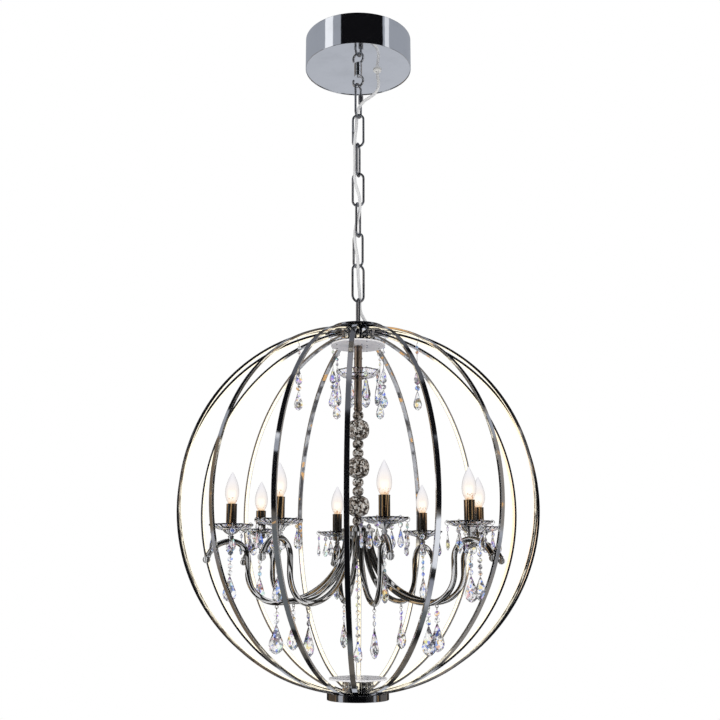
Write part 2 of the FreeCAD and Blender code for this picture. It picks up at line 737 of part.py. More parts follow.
def bottom_hub():
    """White plate, and below it the spool, the ring that the bands run over and a small end piece."""
    edge = "Sizes.hub_plate_radius"
    plate = turned("bottom_plate", [
        ("0", "0"), (edge + " - 1", "0"), (edge, "-1"), (edge, "-Sizes.hub_plate_thickness"),
        ("0", "-Sizes.hub_plate_thickness")])
    keep(plate, "bottom_plate", at(orb_level(bottom_plate_level())))
    rim = "-(sqrt(Sizes.orb_radius^2 - (Sizes.ring_radius - Sizes.ring_wall)^2) + Sizes.ring_gap)"
    top = rim + " + Sizes.bottom_spool"
    foot = rim + " - Sizes.ring_height"
    hub = turned("bottom_hub", [
        ("0", top), ("Sizes.bottom_neck_radius", top),
        ("Sizes.bottom_neck_radius", foot + " + Sizes.ring_floor"),
        ("Sizes.ring_radius - Sizes.ring_wall", foot + " + Sizes.ring_floor"),
        ("Sizes.ring_radius - Sizes.ring_wall", rim), ("Sizes.ring_radius", rim), ("Sizes.ring_radius", foot),
        ("Sizes.finial_radius", foot), ("Sizes.finial_radius", foot + " - Sizes.finial_height / 2"),
        ("Sizes.finial_radius / 2", foot + " - Sizes.finial_height"), ("0", foot + " - Sizes.finial_height")])
    keep(hub, "bottom_hub", at(orb_level(0)))


# Column

def column():
    top = hub_plate_level() - size("hub_plate_thickness")
    seat, end = upper_dish_level(), tube_end()
    tube, rod, disc = size("tube_radius"), size("rod_radius"), size("seat_radius")
    foot = hub_bottom() + size("arm_hub_height") * 0.3
    thickness = size("seat_thickness")
    shape = spun([(0, top), (tube, top), (tube, seat), (disc, seat), (disc, seat - thickness * 0.5),
                  (tube, seat - thickness), (tube, end), (rod, end), (rod, foot), (0, foot)])
    feature("column_tube", shape, at(orb_level(0)))


def cut_ball(radius, height, bore, sides=10):
    """A faceted crystal ball on the column: stacked rings of flat facets, with a bore."""
    steps = ((0.0, 0.42), (0.2, 0.84), (0.42, 1.0), (0.58, 1.0), (0.8, 0.84), (1.0, 0.42))
    rings = []
    for share, width in steps:
        corners = [Vector(radius * width * math.cos(2 * math.pi * i / sides),
                          radius * width * math.sin(2 * math.pi * i / sides), height * share)
                   for i in range(sides)]
        rings.append(Part.makePolygon(corners + corners[:1]))
    ball = Part.makeLoft(rings, True, True)
    return ball.cut(Part.makeCylinder(bore, height))


def column_crystals():
    """Three large balls, each between small ones, threaded on the rod."""
    bore = size("rod_radius") + size("rod_fit")
    small = cut_ball(size("small_ball_radius"), size("small_ball_height"), bore)
    large = cut_ball(size("big_ball_radius"), size("big_ball_height"), bore)
    level = tube_end()
    balls = []
    for kind in "sBssBssBs":
        height = size("small_ball_height") if kind == "s" else size("big_ball_height")
        level -= height
        ball = (small if kind == "s" else large).copy()
        ball.translate(Vector(0, 0, level))
        balls.append(ball)
    feature("column_crystals", Part.makeCompound(balls), at(orb_level(0)))


def scalloped(radius, lobes, height, bulge):
    """A flat outline of outward arcs, made solid. The first lobe points along X."""
    edges = []
    for i in range(lobes):
        angles = [2 * math.pi * (i + share) / lobes for share in (-0.5, 0, 0.5)]
        spots = [Vector(reach * math.cos(angle), reach * math.sin(angle), 0)
                 for reach, angle in zip((radius, radius + bulge, radius), angles)]
        edges.append(Part.Arc(*spots).toShape())
    return Part.Face(Part.Wire(edges)).extrude(Vector(0, 0, height))


def rim_ring_centre(radius, depth):
    """Radius and height of the middle of a ring that goes round a dish's rim and through its hole."""
    return radius + size("dish_bulge") - size("rim_ring_inset"), depth - size("rim_ring_drop")


def crystal_dish(radius, depth, bore, drops):
    """A shallow cut-glass bowl with a scalloped rim, a hole in its floor and one for each drop's ring."""
    glass, bulge, floor = size("dish_glass"), size("dish_bulge"), size("dish_floor_radius")
    flare, knee = size("dish_flare"), size("dish_knee")
    edge = radius + bulge
    bowl = spun([(bore, 0), (floor, 0), (edge - flare, knee), (edge, depth - glass * 0.6), (edge, depth),
                 (edge - flare - glass * 0.4, knee + glass * 0.8), (floor, glass), (bore, glass)])
    bowl = bowl.common(scalloped(radius, count("dish_lobes"), depth, bulge))
    reach = rim_ring_centre(radius, depth)[0] - size("rim_ring_radius") + size("wire_radius")
    hole = Part.makeCylinder(size("rim_hole_radius"), depth, Vector(reach, 0, 0))
    holes = []
    for i in range(drops):
        cut = hole.copy()
        cut.rotate(Vector(0, 0, 0), Vector(0, 0, 1), 360.0 / drops * (i + 0.5))
        holes.append(cut)
    return bowl.cut(holes)


def upper_dish():
    shape = crystal_dish(size("upper_dish_radius"), size("upper_dish_depth"),
                         size("tube_radius") + size("rod_fit"), count("upper_drop_count"))
    feature("upper_dish", shape, at(orb_level(upper_dish_level())))


# Arms and candles

def arm_hub():
    """Round hub that the arms plug into from below, with a stem for the middle pendant."""
    radius, height = size("arm_hub_radius"), size("arm_hub_height")
    stem, reach = size("hub_stem_radius"), size("hub_stem_length")
    bottom = hub_bottom()
    body = spun([(0, bottom + height), (radius * 0.55, bottom + height), (radius, bottom + height * 0.45),
                 (radius, bottom), (stem * 1.8, bottom), (stem, bottom - reach * 0.3),
                 (stem, bottom - reach * 0.7), (stem * 1.5, bottom - reach * 0.85),
                 (stem * 0.6, bottom - reach), (0, bottom - reach)])
    bore = size("rod_radius") + size("rod_fit")
    body = body.cut(Part.makeCylinder(bore, height, Vector(0, 0, bottom + height * 0.3)))
    eye = small_eye()
    eye.translate(Vector(0, 0, bottom - reach))
    feature("arm_hub", body.fuse(eye), at(orb_level(0)))


def small_eye():
    """A small ring in the XZ plane, let into the surface above it, which is at z 0."""
    ring = Part.makeTorus(size("eye_radius"), size("eye_wire"), Vector(0, 0, 0), Vector(0, 1, 0))
    ring.translate(Vector(0, 0, size("eye_wire") / 2 - size("eye_radius")))
    return ring


def eye_pivot():
    """From the surface above a small eye down to the middle of its lowest wire."""
    return 2 * size("eye_radius") - size("eye_wire") / 2


def arm_path():
    """The arm's axis in the XZ plane: sweep down and out, bend up, rise, crook over."""
    root, bottom = size("arm_root"), hub_bottom()
    sweep, turn_up, riser = arm_sweep(), size("arm_turn_up"), size("arm_riser")
    inner, outer = size("crook_inner"), size("crook_outer")
    low = Vector(root + sweep, 0, bottom - sweep)
    rise = Vector(low.x + turn_up, 0, low.z + turn_up)
    shoulder = rise + Vector(0, 0, riser)
    top = Vector(shoulder.x + inner, 0, shoulder.z + inner)
    end = math.radians(90 - size("crook_end"))
    middle = (math.pi / 2 + end) / 2
    outer_centre = top - Vector(0, 0, outer)

    def on_outer(angle):
        return outer_centre + Vector(outer * math.cos(angle), 0, outer * math.sin(angle))

    bend = math.sqrt(0.5)
    edges = [
        Part.Arc(Vector(root, 0, bottom), Vector(low.x - sweep * bend, 0, bottom - sweep * bend), low),
        Part.Arc(low, Vector(low.x + turn_up * bend, 0, rise.z - turn_up * bend), rise),
        Part.LineSegment(rise, shoulder),
        Part.Arc(shoulder, Vector(top.x - inner * bend, 0, shoulder.z + inner * bend), top),
        Part.Arc(top, on_outer(middle), on_outer(end))]
    return Part.Wire([edge.toShape() for edge in edges]), on_outer(end)


def arm_tube():
    start = Vector(size("arm_root"), 0, hub_bottom())
    face = Part.Face(Part.Wire(Part.makeCircle(size("arm_radius"), start, Vector(0, 0, 1))))
    return arm_path()[0].makePipe(face)


def arm_shape():
    """The bent tube with a ball at its end and an eye under its crest and its low point."""
    ball = Part.makeSphere(size("arm_tip"))
    ball.translate(arm_path()[1])
    pieces = [ball]
    for reach, height in (crest(), low_point()):
        eye = small_eye()
        eye.translate(Vector(reach, 0, height - size("arm_radius")))
        pieces.append(eye)
    return arm_tube().fuse(pieces)


def arms():
    shape = arm_shape()
    for i, azimuth in enumerate(arm_azimuths()):
        feature("arm_%d" % (i + 1), turned_copy(shape, azimuth), at(orb_level(0)))


def round_ring(shape, radius, height):
    """One copy of a shape on each arm, at a distance from the column."""
    copies = []
    for azimuth in arm_azimuths():
        copy = shape.copy()
        copy.translate(Vector(radius, 0, height))
        copies.append(turned_copy(copy, azimuth))
    return copies


def candle_cups():
    """Cup that sits on the arm and carries the dish, with the lamp socket that stands inside the sleeve."""
    height, radius, neck = size("cup_height"), size("cup_radius"), size("cup_neck_radius")
    socket, bore = size("socket_radius"), size("socket_bore")
    sleeve_top = height + size("dish_glass") + size("sleeve_height")
    tall = sleeve_top - size("socket_drop")
    floor = sleeve_top + size("bulb_lift") - size("bulb_base_length")
    shape = spun([(0, -size("arm_radius")), (neck, -size("arm_radius")), (neck, height * 0.25),
                  (neck * 0.7, height * 0.4), (radius * 0.7, height * 0.6), (radius, height), (socket, height),
                  (socket, tall), (bore, tall), (bore, floor), (0, floor)])
    reach, level = crest()
    level += size("arm_radius")
    tube = arm_tube()
    tube.translate(Vector(-reach, 0, -level))
    shape = max(shape.cut(tube).Solids, key=lambda solid: solid.Volume)
    feature("candle_cups", Part.makeCompound(round_ring(shape, reach, level)), at(orb_level(0)))


def bobeches():
    shape = crystal_dish(size("dish_radius"), size("dish_depth"), size("dish_bore"), count("rim_drop_count"))
    group = round_ring(shape, crest()[0], dish_level())
    feature("bobeches", Part.makeCompound(group), at(orb_level(0)))


def candle_sleeves():
    """Open tubes that stand in the dishes round the sockets."""
    outer, height = size("sleeve_radius"), size("sleeve_height")
    inner = outer - size("sleeve_wall")
    shape = Part.makeCylinder(outer, height).cut(Part.makeCylinder(inner, height))
    group = round_ring(shape, crest()[0], sleeve_level())
    feature("candle_sleeves", Part.makeCompound(group), at(orb_level(0)))


def bulb_shape():
    """Torpedo bulb: screw base, neck, glass that swells and runs to a point."""
    base, reach = size("bulb_base_radius"), size("bulb_base_length")
    radius, height = size("bulb_radius"), size("bulb_height")
    glass = Part.BSplineCurve()
    glass.interpolate([Vector(base, 0, -2), Vector(radius * 0.86, 0, height * 0.16),
                       Vector(radius, 0, height * 0.34), Vector(radius * 0.74, 0, height * 0.62),
                       Vector(radius * 0.3, 0, height * 0.86), Vector(0.8, 0, height)])
    edges = [Part.makeLine(Vector(0, 0, -reach), Vector(base, 0, -reach)),
             Part.makeLine(Vector(base, 0, -reach), Vector(base, 0, -2)), glass.toShape(),
             Part.makeLine(Vector(0.8, 0, height), Vector(0, 0, height)),
             Part.makeLine(Vector(0, 0, height), Vector(0, 0, -reach))]
    return Part.Face(Part.Wire(edges)).revolve(Vector(0, 0, 0), Vector(0, 0, 1), 360)


def bulbs():
    level = sleeve_level() + size("sleeve_height") + size("bulb_lift")
    group = round_ring(bulb_shape(), crest()[0], level)
    feature("bulbs", Part.makeCompound(group), at(orb_level(0)))


# Crystals

def facet_drop(length, width, sides=8):
    """A flat pear of facets: rings of one outline, narrow at the top, wide below the middle."""
    steps = ((0.0, 0.1), (0.14, 0.3), (0.46, 0.74), (0.7, 1.0), (0.88, 0.72), (1.0, 0.16))
    thickness = size("drop_flatness")
    rings = []
    for share, across in steps:
        corners = [Vector(width / 2 * across * math.cos(2 * math.pi * (i + 0.5) / sides),
                          width / 2 * across * thickness * math.sin(2 * math.pi * (i + 0.5) / sides),
                          -length * share) for i in range(sides)]
        rings.append(Part.makePolygon(corners + corners[:1]))
    return Part.makeLoft(rings, True, True)


def octagon_bead(radius):
    """An eight-sided bead that hangs flat, with bevelled faces."""
    half = size("bead_thickness") / 2
    rings = []
    for y, across in ((-half, 0.6), (0, 1.0), (half, 0.6)):
        corners = [Vector(radius * across * math.cos(2 * math.pi * (i + 0.5) / 8), y,
                          radius * across * math.sin(2 * math.pi * (i + 0.5) / 8)) for i in range(8)]
        rings.append(Part.makePolygon(corners + corners[:1]))
    return Part.makeLoft(rings, True, True)


def string_of(kind, beads):
    """Beads on a pin with a drop below, hung from z 0."""
    radius, pitch, start = size(kind + "_bead_radius"), size(kind + "_pitch"), size("first_bead")
    length = size(kind + "_drop_length")
    pieces = []
    level = -start
    for i in range(beads):
        bead = octagon_bead(radius)
        bead.translate(Vector(0, 0, level - radius))
        pieces.append(bead)
        level -= pitch
    drop = facet_drop(length, size(kind + "_drop_width"))
    drop.translate(Vector(0, 0, level))
    reach = length * 0.2 - level
    wire = Part.makeCylinder(size("wire_radius"), reach, Vector(0, 0, -reach))
    return wire.fuse(pieces + [drop])


def hung_string(kind, beads):
    """A string with a ring on top, measured from the wire of the eye that the ring hangs on."""
    wire = size("wire_radius")
    ring = Part.makeTorus(size("ring_radius_small"), wire, Vector(0, 0, 0), Vector(1, 0, 0))
    centre = size("eye_wire") + wire + size("chain_gap") - size("ring_radius_small")
    ring.translate(Vector(0, 0, centre))
    string = string_of(kind, beads)
    string.translate(Vector(0, 0, centre - size("ring_radius_small")))
    return string.fuse(ring)


def arm_strings():
    """On each arm, one string under the crest and one under the low point."""
    for name, kind, spot in (("crook", "crook", crest()), ("low", "low", low_point())):
        string = hung_string(kind, count(kind + "_beads"))
        string.translate(Vector(spot[0], 0, spot[1] - size("arm_radius") - eye_pivot()))
        for i, azimuth in enumerate(arm_azimuths()):
            feature("%s_string_%d" % (name, i + 1), turned_copy(string, azimuth), at(orb_level(0)))


def centre_string():
    """The string under the hub, with as many beads as leave it clear of the bottom plate."""
    level = hub_bottom() - size("hub_stem_length") - eye_pivot()
    room = level - bottom_plate_level() - size("centre_clearance") - size("centre_drop_length")
    string = hung_string("centre", max(1, int(room / size("centre_pitch"))))
    feature("centre_string", string, at(orb_level(level)))


def ringed_string(kind):
    """A string that hangs from the lowest point of its ring. The ring stands in the XZ plane about z 0."""
    ring = Part.makeTorus(size("rim_ring_radius"), size("wire_radius"), Vector(0, 0, 0), Vector(0, 1, 0))
    string = string_of(kind, 1)
    string.rotate(Vector(0, 0, 0), Vector(0, 0, 1), 90)
    string.translate(Vector(0, 0, -size("rim_ring_radius")))
    return string.fuse(ring)


def dish_drops(kind, radius, depth, number):
    """One string in each hole of a dish's rim."""
    reach, height = rim_ring_centre(radius, depth)
    string = ringed_string(kind)
    string.translate(Vector(reach, 0, height))
    drops = []
    for i in range(number):
        copy = string.copy()
        copy.rotate(Vector(0, 0, 0), Vector(0, 0, 1), 360.0 / number * (i + 0.5))
        drops.append(copy)
    return drops


def band_drops():
    """Strings whose rings go round a band and its light strip, near the top."""
    reach, radius = size("band_drop_reach"), size("band_ring_radius")
    middle = size("orb_radius") - (size("band_thickness") + size("light_thickness")) / 2
    height = math.sqrt(middle ** 2 - reach ** 2)
    out = Vector(reach, 0, height).normalize()
    ring = Part.makeTorus(radius, size("wire_radius"), Vector(reach, 0, height), Vector(out.z, 0, -out.x))
    string = string_of("upper", 1)
    string.rotate(Vector(0, 0, 0), Vector(0, 0, 1), 90)
    string.translate(Vector(reach, 0, height) - out * radius)
    shape = string.fuse(ring)
    return [turned_copy(shape, band_azimuths()[i]) for i in BAND_DROPS]


def hung_drops():
    """The short drops round each dish, round the upper dish and on the bands."""
    rim = dish_drops("rim", size("dish_radius"), size("dish_depth"), count("rim_drop_count"))
    group = round_ring(Part.makeCompound(rim), crest()[0], dish_level())
    number = count("upper_drop_count")
    for drop in dish_drops("upper", size("upper_dish_radius"), size("upper_dish_depth"), number):
        drop.translate(Vector(0, 0, upper_dish_level()))
        group.append(drop)
    feature("hung_drops", Part.makeCompound(group + band_drops()), at(orb_level(0)))


def check_all():
    """Stops when an object failed or a shape is empty or not valid."""
    doc.recompute()
    for item in doc.Objects:
        if "Invalid" in item.State or "Error" in item.State:
            raise RuntimeError("%s failed: %s" % (item.Label, item.State))
    for piece in kept:
        if piece.Shape.isNull() or not piece.Shape.isValid() or not piece.Shape.Solids:
            raise RuntimeError("%s has no valid solid" % piece.Label)


def write_all():
    os.makedirs("parts", exist_ok=True)
    for piece in kept:
        piece.Shape.exportStep("parts/%s.step" % piece.Label)
        print("%-18s %3d solids  %10.0f mm3" % (piece.Label, len(piece.Shape.Solids), piece.Shape.Volume))


canopy()
bracket()
stem_nuts()
hook()
driver()
bushing()
chain()
hub_loop()
cord()
bands()
light_strips()
top_hub()
bottom_hub()
column()
column_crystals()
upper_dish()
arm_hub()
arms()
candle_cups()
bobeches()
candle_sleeves()
bulbs()
arm_strings()
centre_string()
hung_drops()
check_all()
write_all()
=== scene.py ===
import math

import bmesh
import bpy
import numpy as np
from bpy.props import FloatProperty, FloatVectorProperty, IntProperty, PointerProperty
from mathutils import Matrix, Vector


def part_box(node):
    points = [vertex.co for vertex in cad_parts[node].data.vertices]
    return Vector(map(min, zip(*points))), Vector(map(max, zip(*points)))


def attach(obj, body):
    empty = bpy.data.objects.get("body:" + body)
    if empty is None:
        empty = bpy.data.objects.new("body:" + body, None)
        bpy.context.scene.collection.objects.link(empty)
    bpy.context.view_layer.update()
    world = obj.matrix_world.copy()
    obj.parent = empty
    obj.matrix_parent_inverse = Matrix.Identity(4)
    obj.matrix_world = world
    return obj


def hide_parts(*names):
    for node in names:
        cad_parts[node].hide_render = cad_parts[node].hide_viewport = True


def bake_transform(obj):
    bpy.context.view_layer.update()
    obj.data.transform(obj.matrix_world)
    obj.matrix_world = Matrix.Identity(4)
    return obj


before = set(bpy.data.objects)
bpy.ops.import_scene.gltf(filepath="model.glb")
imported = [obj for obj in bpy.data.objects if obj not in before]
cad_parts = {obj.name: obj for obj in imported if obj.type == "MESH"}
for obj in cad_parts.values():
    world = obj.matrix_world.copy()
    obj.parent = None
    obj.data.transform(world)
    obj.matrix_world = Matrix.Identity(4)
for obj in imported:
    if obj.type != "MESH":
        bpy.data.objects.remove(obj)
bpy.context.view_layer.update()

bl_info = {
    "name": "Orb chandelier",
    "version": (1, 0, 0),
    "blender": (4, 5, 0),
    "location": "3D View > Sidebar > Chandelier",
    "description": "Finished pieces, materials, stage and camera for the orb chandelier",
    "category": "Object",
}

# Heights with the ceiling at 0, in metres as all sizes are: the middle of the orb, the underside of the
# drum, the top of the cap, the middle of the hook's bend, and the hinges of the chain
ORB = -1.130
PLATE = -0.0765
CAP = -0.7249
HOOK_CENTRE = -0.10725
PIVOTS = (-0.121, -0.2017, -0.2774, -0.3531, -0.4288, -0.5045, -0.5802, -0.6639)

# Heights over the middle of the orb: top and underside of the two white plates, the dish on the column, the
# top of the crystal balls, where the arms start, and the foot of their hub
PLATE_ABOVE = (0.3641, 0.3606)
PLATE_BELOW = (-0.365, -0.3685)
UPPER_DISH = 0.286
BALLS_TOP = 0.210
ARM_START = -0.059
HUB_FOOT = -0.117

# Air between two wires that hang on each other, the eyes under the arms with how far their middle is below
# the metal, and the height of a dish over its arm
GAP = 0.0003
EYE_RADIUS, EYE_WIRE, EYE_DROP = 0.0032, 0.0009, 0.00275
DISH_RISE = 0.017

# Turns about the upright axis, in degrees
BAND_AZIMUTHS = np.array([-2.9] + [22.5 * i - 0.4 for i in range(1, 16)])
ARM_AZIMUTHS = 10.75 + 45.0 * np.arange(8)
LINK_TURNS = (170, 75, 175, 70, 145)
LINK_BODIES = ["chain_link_%d" % (i + 1) for i in range(5)]

# The cord's route: out of the bushing, down to the chain, in and out of its links, into the cap
CORD_ROUTE = (
    (0.0466, 0, -0.0715), (0.0466, 0, -0.0935), (0.051, -0.002, -0.116), (0.045, -0.003, -0.137),
    (0.030, -0.003, -0.150), (0.014, -0.0025, -0.160), (0.004, 0.003, -0.171),
    (-0.0035, 0.0075, -0.18345), (-0.0035, 0.0075, -0.21995), (-0.0084, -0.0053, -0.25915),
    (-0.0084, -0.0053, -0.29565), (-0.0084, -0.0059, -0.33485), (-0.0084, -0.0059, -0.37135),
    (0.0045, -0.0071, -0.41055), (0.0045, -0.0071, -0.44705), (-0.008, -0.0025, -0.48625),
    (-0.008, -0.0025, -0.52275), (-0.0004, -0.008, -0.56195), (-0.0004, -0.008, -0.59845),
    (0.0041, 0.010, -0.64565), (0.0041, 0.010, -0.68215), (0.012, 0.0106, -0.6999),
    (0.0216, 0.0103, -0.7159), (0.0243, 0.010, -0.7321),
)


def length(name, description, default):
    return FloatProperty(name=name, description=description, default=default, unit="LENGTH", precision=5)


def colour(name, description, default):
    return FloatVectorProperty(name=name, description=description, default=default, subtype="COLOR",
                               min=0, max=1)


class ChainSizes(bpy.types.PropertyGroup):
    wire: length("Wire", "Thickness of the wire of links and hook", 0.0055)
    link_length: length("Link length", "Outside length of a plain link", 0.087)
    link_width: length("Link width", "Outside width of a plain link", 0.031)
    quick_length: length("Quick link length", "Outside length of the link with the sleeve nut", 0.092)
    large_length: length("Large link length", "Outside length of the lowest link", 0.095)
    large_width: length("Large link width", "Outside width of the lowest link", 0.035)
    loop_width: length("Loop width", "Outside width of the loop on the cap", 0.024)
    cord: length("Cord", "Outside diameter of the power cord", 0.007)


class OrbSizes(bpy.types.PropertyGroup):
    radius: length("Orb radius", "Outside of the bands", 0.400)
    band_width: length("Band width", "Width of each band", 0.0105)
    band_thickness: length("Band thickness", "Thickness of each band", 0.005)
    light_width: length("Light width", "Width of the strip inside each band", 0.008)
    light_depth: length("Light depth", "How far the strip stands off its band", 0.0016)
    cap_radius: length("Cap radius", "Disc over the ends of the bands", 0.060)
    plate_radius: length("Plate radius", "White plates above and below", 0.062)
    ring_radius: length("Ring radius", "Ring that the bands run over at the bottom", 0.066)


class ArmSizes(bpy.types.PropertyGroup):
    tube: length("Arm tube", "Radius of the arm's tube", 0.006)
    tip: length("Arm tip", "Radius of the ball at the arm's end", 0.008)
    root: length("Arm root", "Distance of the arm's start from the column", 0.026)
    sweep: length("Sweep", "Radius of the large bend", 0.150)
    turn_up: length("Turn up", "Radius of the bend at the low point", 0.063)
    riser: length("Riser", "Straight rise to the crook", 0.027)
    crook_inner: length("Crook inside", "First radius of the crook", 0.038)
    crook_outer: length("Crook outside", "Second radius of the crook", 0.052)


class CandleSizes(bpy.types.PropertyGroup):
    dish_radius: length("Dish radius", "Middle radius of the scalloped edge", 0.045)
    dish_bulge: length("Dish bulge", "How far each lobe stands out", 0.0027)
    dish_depth: length("Dish depth", "Height of the dish", 0.013)
    dish_lobes: IntProperty(name="Dish lobes", description="Lobes round the dish's edge", default=12, min=3)
    sleeve_radius: length("Sleeve radius", "Outside of the candle sleeve", 0.0114)
    sleeve_height: length("Sleeve height", "Height of the candle sleeve", 0.052)
    bulb_radius: length("Bulb radius", "Widest part of the bulb", 0.015)
    bulb_height: length("Bulb height", "Height of the glass above the sleeve", 0.068)


class CrystalSizes(bpy.types.PropertyGroup):
    bead: length("Bead thickness", "Thickness of the octagon beads", 0.005)
    wire: length("Pin", "Radius of pins and rings", 0.0006)
    flatness: FloatProperty(name="Flatness", description="Thickness of a drop to its width", default=0.5)
    small_ball: length("Small ball", "Radius of the small balls of the column", 0.0125)
    big_ball: length("Big ball", "Radius of the large balls of the column", 0.0255)


class FinishColours(bpy.types.PropertyGroup):
    chrome: colour("Chrome", "Polished chrome of canopy, arms and bands", (0.86, 0.87, 0.90))
    smoked: colour("Smoked chrome", "Darker chrome of the hubs", (0.34, 0.35, 0.38))
    bronze: colour("Bronze chrome", "Brownish plating of the column", (0.46, 0.35, 0.28))
    steel: colour("Chain steel", "Nickelled steel of the chain", (0.60, 0.62, 0.67))
    paint: colour("White paint", "Plates above and below", (0.93, 0.93, 0.98))
    light: colour("Light strip", "Lit face of the light strips", (1.0, 0.90, 0.66))
    glow: colour("Bulb glow", "Warm light near the foot of each bulb", (0.95, 0.80, 0.62))
    glass: colour("Crystal", "Clear crystal", (0.97, 0.98, 1.0))


class StageSettings(bpy.types.PropertyGroup):
    camera_distance: length("Camera distance", "From the orb's axis to the camera", 2.2245)
    camera_level: length("Camera level", "Height of the camera, below the ceiling", -1.3023)
    camera_side: length("Camera side", "Camera to the right of the axis", 0.0044)
    camera_tilt: FloatProperty(name="Camera tilt", description="Upwards", default=math.radians(12.68),
                               subtype="ANGLE")
    floor_level: length("Floor level", "Height of the floor, below the ceiling", -3.0)
    room_light: FloatProperty(name="Room light", description="Even light on the object", default=0.8, min=0)


class ChandelierSettings(bpy.types.PropertyGroup):
    chain: PointerProperty(type=ChainSizes)
    orb: PointerProperty(type=OrbSizes)
    arm: PointerProperty(type=ArmSizes)
    candle: PointerProperty(type=CandleSizes)
    crystal: PointerProperty(type=CrystalSizes)
    colours: PointerProperty(type=FinishColours)
    stage: PointerProperty(type=StageSettings)


# Shapes

class Form:
    """A closed surface: points, faces of equal size, pattern coordinates of the points, a finish number."""

    def __init__(self, points, faces, pattern, smooth=True, paint=0):
        self.points, self.faces, self.pattern = points, faces, pattern
        self.smooth, self.paint = smooth, paint

    def copies(self, places):
        """This form once for each 4 by 4 place."""
        places = np.asarray(places).reshape(-1, 4, 4)
        number, each = len(places), len(self.points)
        points = np.einsum("kij,nj->kni", places[:, :3, :3], self.points) + places[:, None, :3, 3]
        faces = self.faces[None] + (np.arange(number) * each)[:, None, None]
        return Form(points.reshape(-1, 3), faces.reshape(-1, self.faces.shape[1]),
                    np.tile(self.pattern, (number, 1)), self.smooth, self.paint)


def outward(points, faces):
    """Faces in the order that makes the enclosed volume, the sum of the corners' tetrahedra, positive."""
    corners = points[faces]
    volume = 0.0
    for i in range(1, faces.shape[1] - 1):
        volume += np.sum(corners[:, 0] * np.cross(corners[:, i], corners[:, i + 1]))
    return faces if volume > 0 else faces[:, ::-1]


def grid(points, pattern, paint=0):
    """Quads between neighbouring rows and columns of points. Edges that lie on each other close it."""
    rows, columns = points.shape[:2]
    index = np.arange(rows * columns).reshape(rows, columns)
    faces = np.stack([index[:-1, :-1], index[:-1, 1:], index[1:, 1:], index[1:, :-1]], -1).reshape(-1, 4)
    flat = points.reshape(-1, 3)
    return Form(flat, outward(flat, faces), pattern.reshape(-1, 2), paint=paint)


def paired(first, second):
    """Pattern coordinates of a grid, from its columns' and rows' numbers."""
    return np.stack(np.broadcast_arrays(first, second), axis=-1)


def wheel(radius, angle, height):
    """Points (r cos a, r sin a, height) of a grid."""
    return np.stack(np.broadcast_arrays(radius * np.cos(angle), radius * np.sin(angle), height), axis=-1)


def facets(rings, sides, flatness=1.0):
    """Flat triangles between rings of corners, each ring turned half a step from the last. A ring is (radius,
    height); the corner at angle a is (radius cos a, flatness radius sin a, height)."""
    rings = np.asarray(rings, float)
    rows = len(rings)
    steps = np.arange(sides + 1)[None, :] + 0.5 * (np.arange(rows) % 2)[:, None]
    angle = 2 * np.pi * steps / sides
    index = np.arange(rows * (sides + 1)).reshape(rows, sides + 1)
    a, b, c, d = index[:-1, :-1], index[:-1, 1:], index[1:, 1:], index[1:, :-1]
    even = (np.arange(rows - 1) % 2 == 0)[:, None, None]
    first = np.where(even, np.stack([a, b, d], -1), np.stack([a, c, d], -1))
    second = np.where(even, np.stack([b, c, d], -1), np.stack([a, b, c], -1))
    faces = np.concatenate([first.reshape(-1, 3), second.reshape(-1, 3)])
    flat = (wheel(rings[:, :1], angle, rings[:, 1:]) * (1, flatness, 1)).reshape(-1, 3)
    pattern = paired(angle / (2 * np.pi), rings[:, 1:])
    return Form(flat, outward(flat, faces), pattern.reshape(-1, 2), smooth=False)


def revolve(profile, sides=64, paint=0):
    """An outline of (radius, height) carried round the upright axis: (r cos a, r sin a, height)."""
    profile = np.asarray(profile, float)
    angle = np.linspace(0, 2 * np.pi, sides + 1)
    pattern = paired(angle / (2 * np.pi), along(profile)[:, None])
    return grid(wheel(profile[:, :1], angle, profile[:, 1:]), pattern, paint)


def lathe(corners, radius, sides=64):
    """An outline of (radius, height) with its corners rounded, carried round the upright axis."""
    return revolve(softened(corners, radius), sides)


def threaded(radius, depth, pitch, levels):
    """An outline whose radius waves round a middle value, once a pitch."""
    return np.stack([radius + depth * np.cos(2 * np.pi * levels / pitch), levels], axis=-1)


def along(path):
    """Distance from the first point of a path to each of its points."""
    steps = np.linalg.norm(np.diff(path, axis=0), axis=1)
    return np.concatenate([[0.0], np.cumsum(steps)])


def softened(corners, radius, steps=4):
    """An open outline with each inner corner cut back by radius, at most by a share of its shorter side, and
    rounded by a quadratic curve. A point on the straight beside each end keeps the flats' shading even."""
    share, beside = 0.36, 1.25
    corners = np.asarray(corners, float)
    before, corner, after = corners[:-2], corners[1:-1], corners[2:]
    back, ahead = before - corner, after - corner
    back_run = np.linalg.norm(back, axis=1, keepdims=True)
    ahead_run = np.linalg.norm(ahead, axis=1, keepdims=True)
    reach = np.minimum(radius, share * np.minimum(back_run, ahead_run))
    back, ahead = back / back_run * reach, ahead / ahead_run * reach
    start, end = corner + back, corner + ahead
    t = np.linspace(0, 1, steps + 1)[None, :, None]
    curve = (1 - t) ** 2 * start[:, None] + 2 * t * (1 - t) * corner[:, None] + t ** 2 * end[:, None]
    curve = np.concatenate([(corner + beside * back)[:, None], curve, (corner + beside * ahead)[:, None]], 1)
    return np.concatenate([corners[:1], curve.reshape(-1, corners.shape[1]), corners[-1:]])


